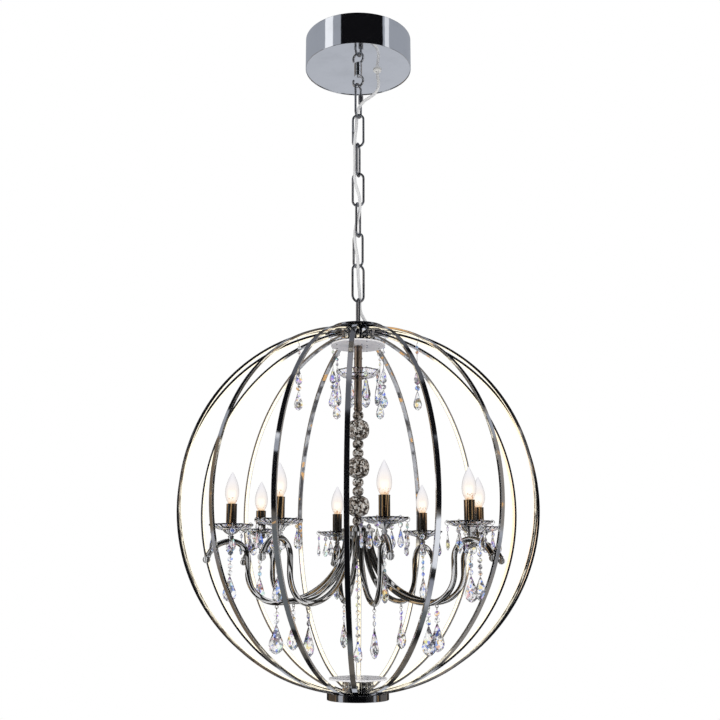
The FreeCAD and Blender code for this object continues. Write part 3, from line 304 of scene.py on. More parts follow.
def through(points, steps):
    """A smooth curve through points, each stretch a cubic whose slope at a point is half the way between its
    neighbours."""
    points = np.asarray(points, float)
    slope = np.gradient(points, axis=0)
    t = np.linspace(0, 1, steps, endpoint=False)[None, :, None]
    p, q, u, v = points[:-1, None], points[1:, None], slope[:-1, None], slope[1:, None]
    curve = ((2 * t ** 3 - 3 * t ** 2 + 1) * p + (t ** 3 - 2 * t ** 2 + t) * u
             + (3 * t ** 2 - 2 * t ** 3) * q + (t ** 3 - t ** 2) * v)
    return np.concatenate([curve.reshape(-1, points.shape[1]), points[-1:]])


def round_section(radius, sides=16):
    """A circle as (sideways, across) pairs, its last point on its first."""
    angle = np.linspace(0, 2 * np.pi, sides + 1)
    return np.stack([radius * np.cos(angle), radius * np.sin(angle)], axis=-1)


def box_section(depth, width, corner, steps=3):
    """A rectangle with rounded corners as (sideways, across) pairs, its last point on its first. A point on
    the flat beside each corner keeps the flats' shading even."""
    turns = np.concatenate([[0], np.linspace(0, 0.5 * np.pi, steps + 1), [0.5 * np.pi]])
    beside = np.concatenate([[-0.3 * corner], np.zeros(steps + 1), [0.3 * corner]])
    quarter = np.repeat([0, 1, 2, 3], steps + 3)
    angle, beside = np.tile(turns, 4) + 0.5 * np.pi * quarter, np.tile(beside, 4)
    side = np.array([1, -1, -1, 1])[quarter]
    up = np.array([1, 1, -1, -1])[quarter]
    points = np.stack([side * (depth / 2 - corner) + corner * np.cos(angle) - beside * np.sin(angle),
                       up * (width / 2 - corner) + corner * np.sin(angle) + beside * np.cos(angle)], axis=-1)
    return np.concatenate([points, points[:1]])


def upright(x, levels):
    """Points of an upright line in the plane of X."""
    return np.stack([np.full(len(levels), x), 0 * levels, levels], axis=-1)


def sweep(path, section, normal=(0, 1, 0), swell=None, closed=False, paint=0):
    """A section carried along a path. Its second number goes along the normal, one for the whole path or
    one for each point, and its first goes across both; swell scales it along the way. Open ends are closed
    to their middle."""
    path = np.asarray(path, float)
    if closed:
        tangent = np.roll(path, -1, axis=0) - np.roll(path, 1, axis=0)
        tangent[0] = tangent[-1] = path[1] - path[-2]
    else:
        tangent = np.gradient(path, axis=0)
    tangent /= np.linalg.norm(tangent, axis=1, keepdims=True)
    normal = np.broadcast_to(np.asarray(normal, float), path.shape)
    sideways = np.cross(normal, tangent)
    scale = np.ones(len(path)) if swell is None else np.asarray(swell, float)
    run = along(path)
    if not closed:
        path, sideways, normal, run = [np.concatenate([row[:1], row, row[-1:]])
                                       for row in (path, sideways, normal, run)]
        scale = np.concatenate([[0.0], scale, [0.0]])
    offset = section[None, :, :1] * sideways[:, None] + section[None, :, 1:] * normal[:, None]
    points = path[:, None] + scale[:, None, None] * offset
    return grid(points, paired(run[:, None], np.linspace(0, 1, len(section))), paint)


def arc(centre, radius, start, end, steps, across=(1, 0, 0), up=(0, 0, 1)):
    """Points of an arc: centre + radius (cos a across + sin a up), a in degrees from start to end."""
    angle = np.radians(np.linspace(start, end, steps))[:, None]
    return np.asarray(centre, float) + radius * (np.cos(angle) * np.asarray(across, float)
                                                 + np.sin(angle) * np.asarray(up, float))


def domed(path, radius, steps=5):
    """A path lengthened by a half ball at each end, and the swell that shapes it."""
    first, last = path[0] - path[1], path[-1] - path[-2]
    first, last = first / np.linalg.norm(first), last / np.linalg.norm(last)
    t = np.linspace(0.5 * np.pi, 0, steps, endpoint=False)[:, None]
    head, tail = path[0] + radius * np.sin(t) * first, path[-1] + radius * np.sin(t[::-1]) * last
    swell = np.concatenate([np.cos(t[:, 0]), np.ones(len(path)), np.cos(t[::-1, 0])])
    return np.concatenate([head, path, tail]), np.maximum(swell, 0.001)


def torus(centre, radius, wire, axis="y", sides=20, section=8, paint=0):
    """A ring of round wire about one of the three axes."""
    plane = {"x": ((0, 1, 0), (0, 0, 1)), "y": ((1, 0, 0), (0, 0, 1)), "z": ((1, 0, 0), (0, 1, 0))}[axis]
    path = arc(centre, radius, 0, 360, sides + 1, *plane)
    return sweep(path, round_section(wire, section), np.cross(plane[1], plane[0]), closed=True, paint=paint)


def ball(centre, radius):
    """A ball as a half circle carried round the upright axis."""
    angle = np.linspace(-0.5 * np.pi, 0.5 * np.pi, 13)
    form = revolve(np.stack([radius * np.cos(angle), radius * np.sin(angle)], axis=-1), 24)
    return form.copies(shift(*centre))


def eye(x, foot):
    """The ring of wire under a foot, at x in the plane of X."""
    return torus((x, 0, foot - EYE_DROP), EYE_RADIUS, EYE_WIRE)


def shift(x=0.0, y=0.0, z=0.0):
    """A 4 by 4 move."""
    place = np.eye(4)
    place[:3, 3] = (x, y, z)
    return place


def turn(degrees, axis="z"):
    """A 4 by 4 turn about one axis."""
    angle = math.radians(degrees)
    c, s = math.cos(angle), math.sin(angle)
    first, second = {"x": (1, 2), "y": (2, 0), "z": (0, 1)}[axis]
    place = np.eye(4)
    place[first, first] = place[second, second] = c
    place[first, second], place[second, first] = -s, s
    return place


def round_orb(azimuths, inner=np.eye(4)):
    """Places that carry a piece made in the upright plane of X to each azimuth, at the orb's level."""
    return [shift(z=ORB) @ turn(azimuth - 90) @ inner for azimuth in azimuths]


def piece(name, forms, finishes, body, replaced=(), edge=35, places=None):
    """Puts forms, or their copies at places, into one mesh at the origin, closes their seams, rounds its
    shading below an edge angle, and sets it on its body in the place of CAD nodes."""
    if places is not None:
        forms = [form.copies(places) for form in forms]
    starts = np.cumsum([0] + [len(form.points) for form in forms])
    points = np.concatenate([form.points for form in forms])
    pattern = np.concatenate([form.pattern for form in forms])
    corners = np.concatenate([(form.faces + start).ravel() for form, start in zip(forms, starts)])
    each, smooth, paint = [np.concatenate([np.full(len(form.faces), value(form)) for form in forms])
                           for value in (lambda form: form.faces.shape[1], lambda form: form.smooth,
                                         lambda form: form.paint)]
    mesh = bpy.data.meshes.new(name)
    mesh.vertices.add(len(points))
    mesh.vertices.foreach_set("co", points.astype(np.float32).ravel())
    mesh.loops.add(len(corners))
    mesh.loops.foreach_set("vertex_index", corners.astype(np.int32))
    mesh.polygons.add(len(each))
    mesh.polygons.foreach_set("loop_start", np.concatenate([[0], np.cumsum(each)[:-1]]).astype(np.int32))
    mesh.polygons.foreach_set("use_smooth", smooth)
    mesh.update(calc_edges=True)
    layer = mesh.uv_layers.new(name="Pattern")
    layer.data.foreach_set("uv", pattern[corners].astype(np.float32).ravel())
    for item in finishes:
        mesh.materials.append(finish(item) if isinstance(item, str) else item)
    mesh.polygons.foreach_set("material_index", paint.astype(np.int32))
    work = bmesh.new()
    work.from_mesh(mesh)
    bmesh.ops.remove_doubles(work, verts=work.verts, dist=2e-6)
    work.to_mesh(mesh)
    work.free()
    mesh.set_sharp_from_angle(angle=math.radians(edge))
    obj = bpy.data.objects.new(name, mesh)
    bpy.context.scene.collection.objects.link(obj)
    if body:
        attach(obj, body)
    if replaced:
        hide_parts(*replaced)
    return obj


# Materials

class Value:
    """A node's output. Sums and products written with it add Math nodes."""

    def __init__(self, nodes, socket):
        self.nodes = nodes
        self.socket = socket

    def math(self, operation, other=0.0, swapped=False):
        pair = (other, self) if swapped else (self, other)
        return self.nodes.node("Math", {"operation": operation}, {0: pair[0], 1: pair[1]})

    def __add__(self, other):
        return self.math("ADD", other)

    def __sub__(self, other):
        return self.math("SUBTRACT", other)

    def __rsub__(self, other):
        return self.math("SUBTRACT", other, True)

    def __mul__(self, other):
        return self.math("MULTIPLY", other)

    def __truediv__(self, other):
        return self.math("DIVIDE", other)

    __radd__ = __add__
    __rmul__ = __mul__

    def sine(self):
        return self.math("SINE")

    def highest(self, other):
        return self.math("MAXIMUM", other)

    def rise(self, low, high):
        """0 below low, 1 above high, smooth between."""
        return self.nodes.node("MapRange", {"interpolation_type": "SMOOTHSTEP"},
                               {"Value": self, "From Min": low, "From Max": high})

    def between(self, low, high, soft):
        """1 between two values, 0 outside, smooth over soft."""
        return self.rise(low - soft, low) * (1 - self.rise(high, high + soft))


class Nodes:
    """The nodes of a material or of the world."""

    def __init__(self, tree):
        self.tree = tree

    def node(self, kind, settings=None, sockets=None, output=0):
        """Adds a shader node of a kind, with its settings first and then its sockets' values or links."""
        item = self.tree.nodes.new("ShaderNode" + kind)
        for name, value in (settings or {}).items():
            if name == "stops":
                ramp = item.color_ramp
                ramp.elements.remove(ramp.elements[1])
                ramp.elements[0].position = value[0][0]
                ramp.elements[0].color = rgba(value[0][1])
                for position, tone in value[1:]:
                    ramp.elements.new(position).color = rgba(tone)
            else:
                setattr(item, name, value)
        for name, value in (sockets or {}).items():
            if isinstance(value, Value):
                self.tree.links.new(value.socket, item.inputs[name])
            else:
                item.inputs[name].default_value = value
        return Value(self, item.outputs[output])

    def outputs(self, value, *names):
        """Outputs of the node that a value comes from."""
        return [Value(self, value.socket.node.outputs[name]) for name in names]

    def mix(self, share, first, second):
        """A colour between two, by share."""
        first, second = [tone if isinstance(tone, Value) else rgba(tone) for tone in (first, second)]
        return self.node("Mix", {"data_type": "RGBA"}, {0: share, 6: first, 7: second}, 2)

    def layers(self, tone, *layers):
        """A colour with others laid over it in order, each by its share."""
        for share, over in layers:
            tone = self.mix(share, tone, over)
        return tone

    def ramp(self, share, stops):
        return self.node("ValToRGB", {"stops": stops}, {"Fac": share})

    def place(self, kind="Object"):
        """Coordinates: Object or UV in a material, and Generated, which is the direction, in the world."""
        return self.node("TexCoord", output=kind)

    def noise(self, scale, detail=2.0, rough=0.5, where=None):
        return self.node("TexNoise", {}, {"Vector": where or self.place(), "Scale": scale, "Detail": detail,
                                          "Roughness": rough})

    def cells(self, scale, where=None):
        """Colours of small cells, and their greys."""
        cell = self.node("TexVoronoi", {}, {"Vector": where or self.place(), "Scale": scale}, "Color")
        return cell, self.node("RGBToBW", {}, {0: cell})

    def facing(self):
        """0 where the surface faces the view, 1 at its outline."""
        return self.node("LayerWeight", {}, {"Blend": 0.5}, "Facing")

    def split(self, vector):
        """The three numbers of a vector."""
        return self.outputs(self.node("SeparateXYZ", {}, {0: vector}), 0, 1, 2)


def rgba(tone, scale=1.0):
    """A colour times a scale, with its alpha. A number is a grey."""
    channels = (tone,) * 3 if isinstance(tone, float) else tone[:3]
    return tuple(channel * scale for channel in channels) + (1.0,)


class Finish(Nodes):
    """A material: constants on the main shader's own sockets, and varying values fed to a few of them."""

    def __init__(self, name, constants):
        self.material = bpy.data.materials.new(name)
        self.material.use_nodes = True
        super().__init__(self.material.node_tree)
        self.shader = next(item for item in self.tree.nodes if item.type == "BSDF_PRINCIPLED")
        for socket, value in constants.items():
            self.shader.inputs[socket].default_value = value

    def bump(self, height, strength, distance):
        return self.node("Bump", {}, {"Height": height, "Strength": strength, "Distance": distance})

    def fed(self, **values):
        """Feeds values to the main shader's sockets, an underscore for a space, and gives the material."""
        for name, value in values.items():
            self.tree.links.new(value.socket, self.shader.inputs[name.replace("_", " ")])
        return self.material


made = {}


def finish(name):
    """The material of that name, made once."""
    if name not in made:
        maker, *given = recipes()[name]
        made[name] = maker(name, *given)
    return made[name]


def chrome(name, tone, roughness, wave=0.02):
    """Plated metal: faint clouds in tone and gloss, and a slow waviness of the surface."""
    skin = Finish(name, {"Metallic": 1.0})
    cloud, speck = skin.noise(14, 4, 0.6), skin.noise(420)
    share = cloud.rise(0.42, 0.75) * 0.5 + speck.rise(0.62, 0.72) * 0.15
    return skin.fed(Base_Color=skin.mix(share, tone, rgba(tone, 0.84)),
                    Roughness=cloud * 0.05 + speck * 0.02 + roughness,
                    Normal=skin.bump(skin.noise(34, 1), wave, 0.01))


def steel(name, tone):
    """Nickelled wire: short scratches across the wire, darker where links rub."""
    skin = Finish(name, {"Metallic": 1.0})
    cloud, scratch = skin.noise(60, 5, 0.65), skin.noise(1400, 1)
    return skin.fed(Base_Color=skin.mix(cloud.rise(0.4, 0.7), tone, rgba(tone, 0.7)),
                    Roughness=cloud * 0.12 + scratch * 0.06 + 0.04, Normal=skin.bump(scratch, 0.05, 0.001))


def spangled_zinc(name):
    """Galvanised sheet and fixings: crystals of zinc a few millimetres wide."""
    skin = Finish(name, {"Metallic": 1.0})
    _, tone = skin.cells(190.0)
    return skin.fed(Base_Color=skin.mix(tone, (0.55, 0.57, 0.6), (0.78, 0.79, 0.82)),
                    Roughness=tone * 0.2 + 0.28, Normal=skin.bump(tone, 0.05, 0.0005))


def enamel(name, tone):
    """White paint with a fine orange peel and faint grey where hands held it."""
    skin = Finish(name, {"Coat Weight": 0.3, "Coat Roughness": 0.1})
    cloud = skin.noise(24, 4)
    return skin.fed(Base_Color=skin.mix(cloud.rise(0.45, 0.8) * 0.4, tone, rgba(tone, 0.9)),
                    Roughness=cloud * 0.12 + 0.28, Normal=skin.bump(skin.noise(900, 1), 0.08, 0.0008))


def crystal(name, tone, index, dispersion_share, shade, size, outline):
    """Clear cut glass with painted light. Small patches take a colour of the spectrum, a painted dispersion
    of the light that its facets split, and others are painted shade: dark where a facet shows no light or is
    seen from its side."""
    skin = Finish(name, {"IOR": index, "Transmission Weight": 1.0, "Roughness": 0.0})
    # Painted light: spectrum colours stand for light split by the facets; dark patches and a darker outline
    # are painted shade
    spectrum = skin.ramp(skin.cells(0.7 / size)[1], [
        (0.0, (0.16, 0.10, 0.90)), (0.34, (0.10, 0.25, 0.95)), (0.42, (0.45, 0.90, 0.85)),
        (0.54, (0.98, 0.90, 0.30)), (0.66, (0.98, 0.45, 0.12)), (0.85, (0.40, 0.16, 0.85))])
    patch = skin.noise(1 / size, 1).rise(0.575, 0.61)
    shadow = skin.noise(0.8 / size, 1).rise(0.58, 0.61)
    dark = (shadow * shade).highest(skin.facing().rise(0.60, 0.85) * outline)
    return skin.fed(Base_Color=skin.mix(dark, skin.mix(patch * dispersion_share, tone, spectrum), (0.02, 0.02, 0.03)),
                    Roughness=skin.noise(60, 3).rise(0.55, 0.8) * 0.03)


def smoky_crystal(name):
    """Smoky cut glass: each small cell painted near black, brown or bright, its own smoky brown with painted
    reflection of the room in its facets.
    """
    skin = Finish(name, {"IOR": 1.5, "Transmission Weight": 0.5, "Roughness": 0.02})
    # Painted reflection: the near black and bright stops stand for the room seen in the facets
    return skin.fed(Base_Color=skin.ramp(skin.cells(250.0)[1], [
        (0.25, (0.015, 0.012, 0.010)), (0.42, (0.07, 0.055, 0.045)), (0.52, (0.30, 0.25, 0.21)),
        (0.64, (0.55, 0.50, 0.46)), (0.74, (0.95, 0.94, 0.92))]))


def painted_reflection_plating(name, along_first, along_second, stops):
    """Polished plating with painted reflection: the room drawn in its colour as long streaks, smooth noise
    stretched along the piece by the two scales of its own pattern coordinates and cut by a ramp into black,
    brown, gold and white."""
    skin = Finish(name, {"Metallic": 0.3, "Coat Weight": 0.6, "Coat Roughness": 0.04})
    first, second, _ = skin.split(skin.place("UV"))
    where = skin.node("CombineXYZ", {}, {0: first * along_first, 1: second * along_second})
    # Painted reflection: the ramp's colours stand for the room and its highlights seen in the plating
    streak = skin.node("TexNoise", {"noise_dimensions": "2D"},
                       {"Vector": where, "Scale": 1.0, "Detail": 1.0})
    return skin.fed(Base_Color=skin.ramp(streak, stops), Roughness=skin.noise(200) * 0.1 + 0.08)


def bulb_glass(name, tone, glow, foot, height):
    """Lit clear bulb: pale with painted shade towards a painted grey outline, a warm glow that fades upwards,
    and marks of the coil.
    """
    skin = Finish(name, {"Base Color": (0.2, 0.2, 0.21, 1), "Coat Weight": 0.5, "Coat Roughness": 0.03,
                         "Specular IOR Level": 0.2, "Emission Strength": 1.0})
    up = (skin.split(skin.place())[2] - foot) / height
    facing = skin.facing()
    warm = (1 - up.rise(-0.1, 0.95)) * ((1 - facing.rise(0.05, 0.6)) * 0.6 + 0.4)
    # Painted shade: the pale glass darkens towards its outline, which is painted grey; the warm layers are
    # the bulb's own glow
    lit = skin.layers(
        skin.mix(facing.rise(0.05, 0.5), tone, rgba(tone, 0.84)),
        (facing.rise(0.55, 0.9), (0.26, 0.25, 0.27)),
        (warm, glow),
        (up.between(0.20, 0.32, 0.14) * (1 - facing.rise(0.02, 0.25)), (1.0, 0.96, 0.82)),
        ((1 - up.rise(0.0, 0.12)) * 0.6, (0.85, 0.50, 0.20)),
        (skin.noise(300, 1).rise(0.59, 0.63) * up.between(-0.02, 0.17, 0.03), (0.50, 0.18, 0.02)))
    return skin.fed(Emission_Color=lit, Roughness=skin.noise(90) * 0.1 + 0.1)


def diffuser(name, tone):
    """Lit silicone strip: a brighter spot over each diode along its length, and painted reflection in amber
    on the right. The rear strips are painted unlit above the middle, and show painted reflection there:
    patches of dark and silver metal with amber glints."""
    skin = Finish(name, {"Roughness": 0.35, "Emission Strength": 0.85})
    diode_pitch = 0.0083
    x, y, z = skin.split(skin.place())
    spot = (skin.split(skin.place("UV"))[0] * (2 * math.pi / diode_pitch)).sine().rise(-0.4, 0.9)
    unlit = y.rise(0.02, 0.05) * (1 - x.math("ABSOLUTE").rise(0.165, 0.185)) * z.rise(ORB - 0.10, ORB - 0.05)
    # Painted reflection: amber on the strips to the right; the rear strips are painted unlit above the middle
    lit = skin.layers(skin.mix(spot, rgba(tone, 0.82), tone), (x.rise(0.30, 0.36) * 0.85, (0.95, 0.52, 0.20)),
                      (unlit, 0.0))
    # Painted reflection on the unlit metal: dark and silver patches and amber glints
    metal = skin.layers(skin.mix(skin.noise(22).rise(0.42, 0.56), (0.10, 0.10, 0.11), (0.55, 0.57, 0.62)),
                        (skin.noise(37, 1).rise(0.61, 0.65), (0.95, 0.55, 0.22)))
    return skin.fed(Emission_Color=lit, Base_Color=skin.mix(unlit, (0.9, 0.84, 0.7), metal))


def clear_sheath(name):
    """Clear cord: pale conductors twist below a glossy skin, once round in 30 mm."""
    skin = Finish(name, {"Transmission Weight": 0.15, "Coat Weight": 0.8, "Coat Roughness": 0.05,
                         "IOR": 1.45})
    run, share, _ = skin.split(skin.place("UV"))
    twist = (share * (4 * math.pi) - run * (2 * math.pi / 0.03)).sine()
    grain = skin.noise(300)
    inside = skin.mix(twist.rise(-0.5, 0.5), (0.84, 0.84, 0.86), (0.95, 0.95, 0.94))
    return skin.fed(Base_Color=skin.mix(grain * 0.25, inside, (0.88, 0.88, 0.90)),
                    Roughness=grain * 0.1 + 0.15)


def plastic(name, tone):
    """Moulded plastic with a fine texture."""
    skin = Finish(name, {})
    grain = skin.noise(700, 3)
    return skin.fed(Base_Color=skin.mix(grain * 0.5, tone, rgba(tone, 0.88)), Roughness=grain * 0.2 + 0.3,
                    Normal=skin.bump(grain, 0.06, 0.0005))


def recipes():
    """The maker of each material, and what it is given."""
    tones = bpy.context.scene.chandelier.colours
    # Grey, white and the colours after them are stops of painted reflection: dark streaks, white highlights,
    # gold, brass and brown glints of the room; bronze is the column's own tone
    bronze, grey, white = tones.bronze, rgba(tones.chrome, 0.5), rgba(tones.chrome, 1.1)
    black, reflected_black, gold = 0.005, (0.010, 0.008, 0.007), (0.55, 0.38, 0.20)
    umber, brass, brown = (0.008, 0.007, 0.006), (0.75, 0.50, 0.24), (0.30, 0.16, 0.07)
    return {
        "polished_chrome": (chrome, tones.chrome, 0.02),
        "band_chrome": (chrome, tones.chrome, 0.03, 0.04),
        "dark_chrome": (chrome, tones.smoked, 0.06),
        "chain_steel": (steel, tones.steel),
        "nut_steel": (steel, (0.5, 0.5, 0.52)),
        "pin_steel": (steel, (0.8, 0.8, 0.82)),
        "zinc_steel": (spangled_zinc,),
        "white_paint": (enamel, tones.paint),
        "case_paint": (enamel, (0.82, 0.83, 0.84)),
        "grommet": (plastic, (0.16, 0.16, 0.17)),
        "white_plastic": (plastic, (0.9, 0.9, 0.88)),
        "clear_cord": (clear_sheath,),
        "light_diffuser": (diffuser, tones.light),
        # Crystal: index of refraction, share of painted dispersion colour, share of painted shade patches,
        # patch size, share of painted dark outline
        "crystal": (crystal, tones.glass, 1.4, 0.75, 0.15, 0.003, 0.0),
        "cut_crystal": (crystal, tones.glass, 1.6, 1.0, 0.9, 0.0085, 0.8),
        "smoky_crystal": (smoky_crystal,),
        # Painted reflection of the room as streaks on the arms, cups, hub, candle sleeves and column
        "arm_chrome": (painted_reflection_plating, 8, 2.5, [
            (0.37, black), (0.385, grey), (0.41, grey), (0.42, black), (0.48, black), (0.49, white),
            (0.535, white), (0.545, black), (0.60, black), (0.61, gold), (0.64, gold), (0.65, black)]),
        "sleeve_bronze": (painted_reflection_plating, 4, 3, [
            (0.39, umber), (0.42, brass), (0.45, brown), (0.48, umber), (0.56, umber), (0.59, brown),
            (0.61, brass), (0.65, umber)]),
        "bronze_chrome": (painted_reflection_plating, 6, 2, [
            (0.36, reflected_black), (0.40, rgba(bronze, 0.3)), (0.45, rgba(bronze, 0.15)), (0.50, rgba(bronze, 0.7)),
            (0.54, bronze), (0.57, rgba(bronze, 0.3)), (0.61, reflected_black), (0.66, rgba(bronze, 0.5))]),
    }


# Stage

class CHANDELIER_OT_stage(bpy.types.Operator):
    """Camera, world, lamps and floor"""
    bl_idname = "chandelier.stage"
    bl_label = "Stage"

    def execute(self, context):
        given = context.scene.chandelier.stage
        context.scene.view_settings.view_transform = "Standard"
        lens = bpy.data.cameras.new("photo_camera")
        lens.lens, lens.sensor_width, lens.sensor_fit = 50.0, 36.0, "HORIZONTAL"
        lens.clip_end = 60.0
        camera = bpy.data.objects.new("photo_camera", lens)
        camera.location = (given.camera_side, -given.camera_distance, given.camera_level)
        camera.rotation_euler = (math.radians(90) + given.camera_tilt, 0, 0)
        context.scene.collection.objects.link(camera)
        context.scene.camera = camera
        self.world(context, given)
        self.lamps(context)
        self.floor(given)
        return {"FINISHED"}

    def world(self, context, given):
        """White for the camera. Polished metal shows a dim studio: black in front, a tall soft light on each
        side, grey walls above and beside, a pale floor. Glass shows white all round and a broken pattern of
        dark, white and coloured light above and below. Everything else gets an even light."""
        world = bpy.data.worlds.new("studio")
        world.use_nodes = True
        world.node_tree.nodes.clear()
        context.scene.world = world
        nodes = Nodes(world.node_tree)
        direction = nodes.place("Generated")
        x, y, z = nodes.split(direction)
        down, behind = z * -1, y * -1
        height, turned = z.math("ARCTAN2", behind), x.math("ARCTAN2", behind)
        aside = (x + 0.05).math("ABSOLUTE")
        cloud = nodes.noise(2.6, 3.0, where=direction)
        glint = nodes.noise(13.0, 0.0, where=direction)
        black = 0.012
        # The floor: bright on the right with a grey and a dark band across it, dark and then pale at the back
        fall = height * -1
        right = x.rise(0.50, 0.62) * (1 - y.rise(-0.22, -0.12))
        low = nodes.layers(
            nodes.mix(right, (0.13, 0.14, 0.145), (0.82, 0.84, 0.88)),
            (height.between(-1.70, -1.06, 0.04) * right, (0.26, 0.27, 0.31)),
            (height.between(-1.04, -0.92, 0.04) * right, black),
            (fall.rise(1.58, 1.64) * aside.rise(0.25, 0.35), 0.015),
            (fall.rise(1.85, 2.4), (0.50, 0.53, 0.60)))
        # The side walls, amber glints, what the plate under the drum shows, the dark front, the dark patches
        # high on both sides, the grey edges beside the soft lights, and the soft lights
        walls = nodes.mix(x.rise(-0.2, 0.2), (0.17, 0.13, 0.09), (0.26, 0.24, 0.22))
        amber = glint.rise(0.70, 0.74) * z.between(-0.25, 0.40, 0.1) * (1 - y.rise(0.35, 0.6) * 0.75)
        plate = nodes.mix(cloud.rise(0.3, 0.7) * 0.3 + down.rise(0.38, 0.56) * 0.7,
                          (0.58, 0.60, 0.64), (0.42, 0.44, 0.48))
        edge = aside.rise(0.12, 0.6) * 1.45 - 1.6
        front = (height - edge).rise(-0.05, 0.05) * (1 - height.rise(0.86, 0.96)) * (1 - y.rise(-0.1, 0.1))
        high = z.between(0.57, 0.87, 0.03) * aside.between(0.32, 0.75, 0.05)
        beside = (turned - 0.15).math("ABSOLUTE").rise(0.79, 0.83) * z.between(0.45, 0.55, 0.02)
        softbox = (turned.between(1.06, 1.22, 0.03) * 0.7).highest(turned.between(-1.32, -1.00, 0.03))
        room = nodes.layers(
            nodes.mix(cloud.rise(0.38, 0.62), (0.010, 0.010, 0.011), (0.15, 0.135, 0.115)),
            (y.rise(0.0, 0.1) * aside.rise(0.35, 0.5), walls),
            (y.rise(0.68, 0.80), black),
            (z.rise(0.62, 0.75), (0.11, 0.115, 0.13)),
            (z.rise(0.95, 0.985), (0.27, 0.27, 0.29)),
            (down.rise(0.12, 0.2) * (1 - y.rise(0.1, 0.3)), low),
            (amber, (0.85, 0.48, 0.18)),
            (down.between(0.38, 0.58, 0.03) * y.rise(0.74, 0.80), plate),
            (front.highest(high), (0.004, 0.004, 0.005)),
            (beside, (0.33, 0.35, 0.39)),
            (softbox * z.between(-0.45, 0.56, 0.04), (0.95, 0.97, 1.0)))
        # What glass shows, and which ray sees which
        fleck, share = nodes.cells(4.5, direction)
        around = nodes.layers((0.015, 0.015, 0.017), (share.rise(0.26, 0.32), fleck),
                              (share.rise(0.48, 0.54), (0.95, 0.95, 0.96)))
        clear = nodes.mix(z.math("ABSOLUTE").rise(0.42, 0.60), 1.0, around)
        seen, mirrored, through_glass = nodes.outputs(
            nodes.node("LightPath"), "Is Camera Ray", "Is Glossy Ray", "Is Transmission Ray")
        tone = nodes.layers(rgba(1.0, given.room_light),
                            (mirrored.highest(through_glass), nodes.mix(through_glass, room, clear)),
                            (seen, 1.0))
        back = nodes.node("Background", {}, {"Color": tone, "Strength": 1.0})
        out = world.node_tree.nodes.new("ShaderNodeOutputWorld")
        world.node_tree.links.new(back.socket, out.inputs["Surface"])

    def lamps(self, context):
        """Two large soft lamps, above left and above right, that look at the orb."""
        target, wide = np.array([0, 0, -1.1]), 2.2
        for name, place, power in (("left_lamp", (-2.6, -2.2, 0.6), 26),
                                   ("right_lamp", (2.8, -1.2, 0.2), 14)):
            lamp = bpy.data.lights.new(name, "AREA")
            lamp.energy, lamp.size = power, wide
            item = bpy.data.objects.new(name, lamp)
            item.location = place
            item.visible_glossy = False
            aim = target - np.array(place)
            item.rotation_euler = (math.atan2(math.hypot(aim[0], aim[1]), -aim[2]), 0,
                                   math.atan2(-aim[0], aim[1]))
            context.scene.collection.objects.link(item)

    def floor(self, given):
        """A pale round floor, its rim rounded, far below the object. Reflections and glass see through it."""
        radius, top = 6.0, given.floor_level
        under = top - 0.05
        skin = Finish("floor_paint", {"Roughness": 0.8})
        skin.fed(Base_Color=skin.mix(skin.noise(0.8, 3) * 0.3, 0.92, (0.86, 0.86, 0.87)))
        mirrored, through_glass = skin.outputs(skin.node("LightPath"), "Is Glossy Ray",
                                               "Is Transmission Ray")
        surface = skin.node("MixShader", {}, {
            0: mirrored.highest(through_glass), 1: Value(skin, skin.shader.outputs[0]),
            2: skin.node("BsdfTransparent")})
        out = next(item for item in skin.tree.nodes if item.type == "OUTPUT_MATERIAL")
        skin.tree.links.new(surface.socket, out.inputs["Surface"])
        floor = piece("floor", [lathe([(0, under), (radius, under), (radius, top), (0, top)], 0.02, 96)],
                      [skin.material], None)


# Canopy, hook and chain

class CHANDELIER_OT_cord(bpy.types.Operator):
    """Clear power cord from the bushing through the chain into the cap"""
    bl_idname = "chandelier.cord"
    bl_label = "Power cord"

    def execute(self, context):
        diameter = context.scene.chandelier.chain.cord
        path = self.line()
        cuts = [0] + [int(np.argmin(np.abs(path[:, 2] - 0.5 * (a + b)))) for a, b in zip(PIVOTS, PIVOTS[1:])]
        cuts.append(len(path) - 1)
        for i, (start, end) in enumerate(zip(cuts, cuts[1:])):
            stretch = path[start:end + 1]
            obj = piece("cord_%d" % (i + 1), [self.tube(stretch, diameter / 2)], ["clear_cord"], None,
                        edge=80)
            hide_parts("power_cord")
            if i == 0:
                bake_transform(obj)
            else:
                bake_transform(obj)
        return {"FINISHED"}

    def line(self):
        """Points of the smooth curve whose control points are the route."""
        curve = bpy.data.curves.new("cord_route", "CURVE")
        curve.dimensions = "3D"
        curve.resolution_u = 12
        spline = curve.splines.new("NURBS")
        spline.points.add(len(CORD_ROUTE) - 1)
        spline.points.foreach_set("co", np.array([(*point, 1.0) for point in CORD_ROUTE]).ravel())
        spline.order_u = 3
        spline.use_endpoint_u = True
        holder = bpy.data.objects.new("cord_route", curve)
        mesh = bpy.data.meshes.new_from_object(holder)
        points = np.zeros(len(mesh.vertices) * 3)
        mesh.vertices.foreach_get("co", points)
        bpy.data.meshes.remove(mesh)
        bpy.data.objects.remove(holder)
        bpy.data.curves.remove(curve)
        return points.reshape(-1, 3)

    def tube(self, path, radius):
        """A circle carried along the cord, across the direction it runs in, with closed ends."""
        tangent = np.gradient(path, axis=0)
        tangent /= np.linalg.norm(tangent, axis=1, keepdims=True)
        across = np.cross(tangent, (0, 1, 0))
        across /= np.linalg.norm(across, axis=1, keepdims=True)
        return sweep(path, round_section(radius), np.cross(tangent, across))


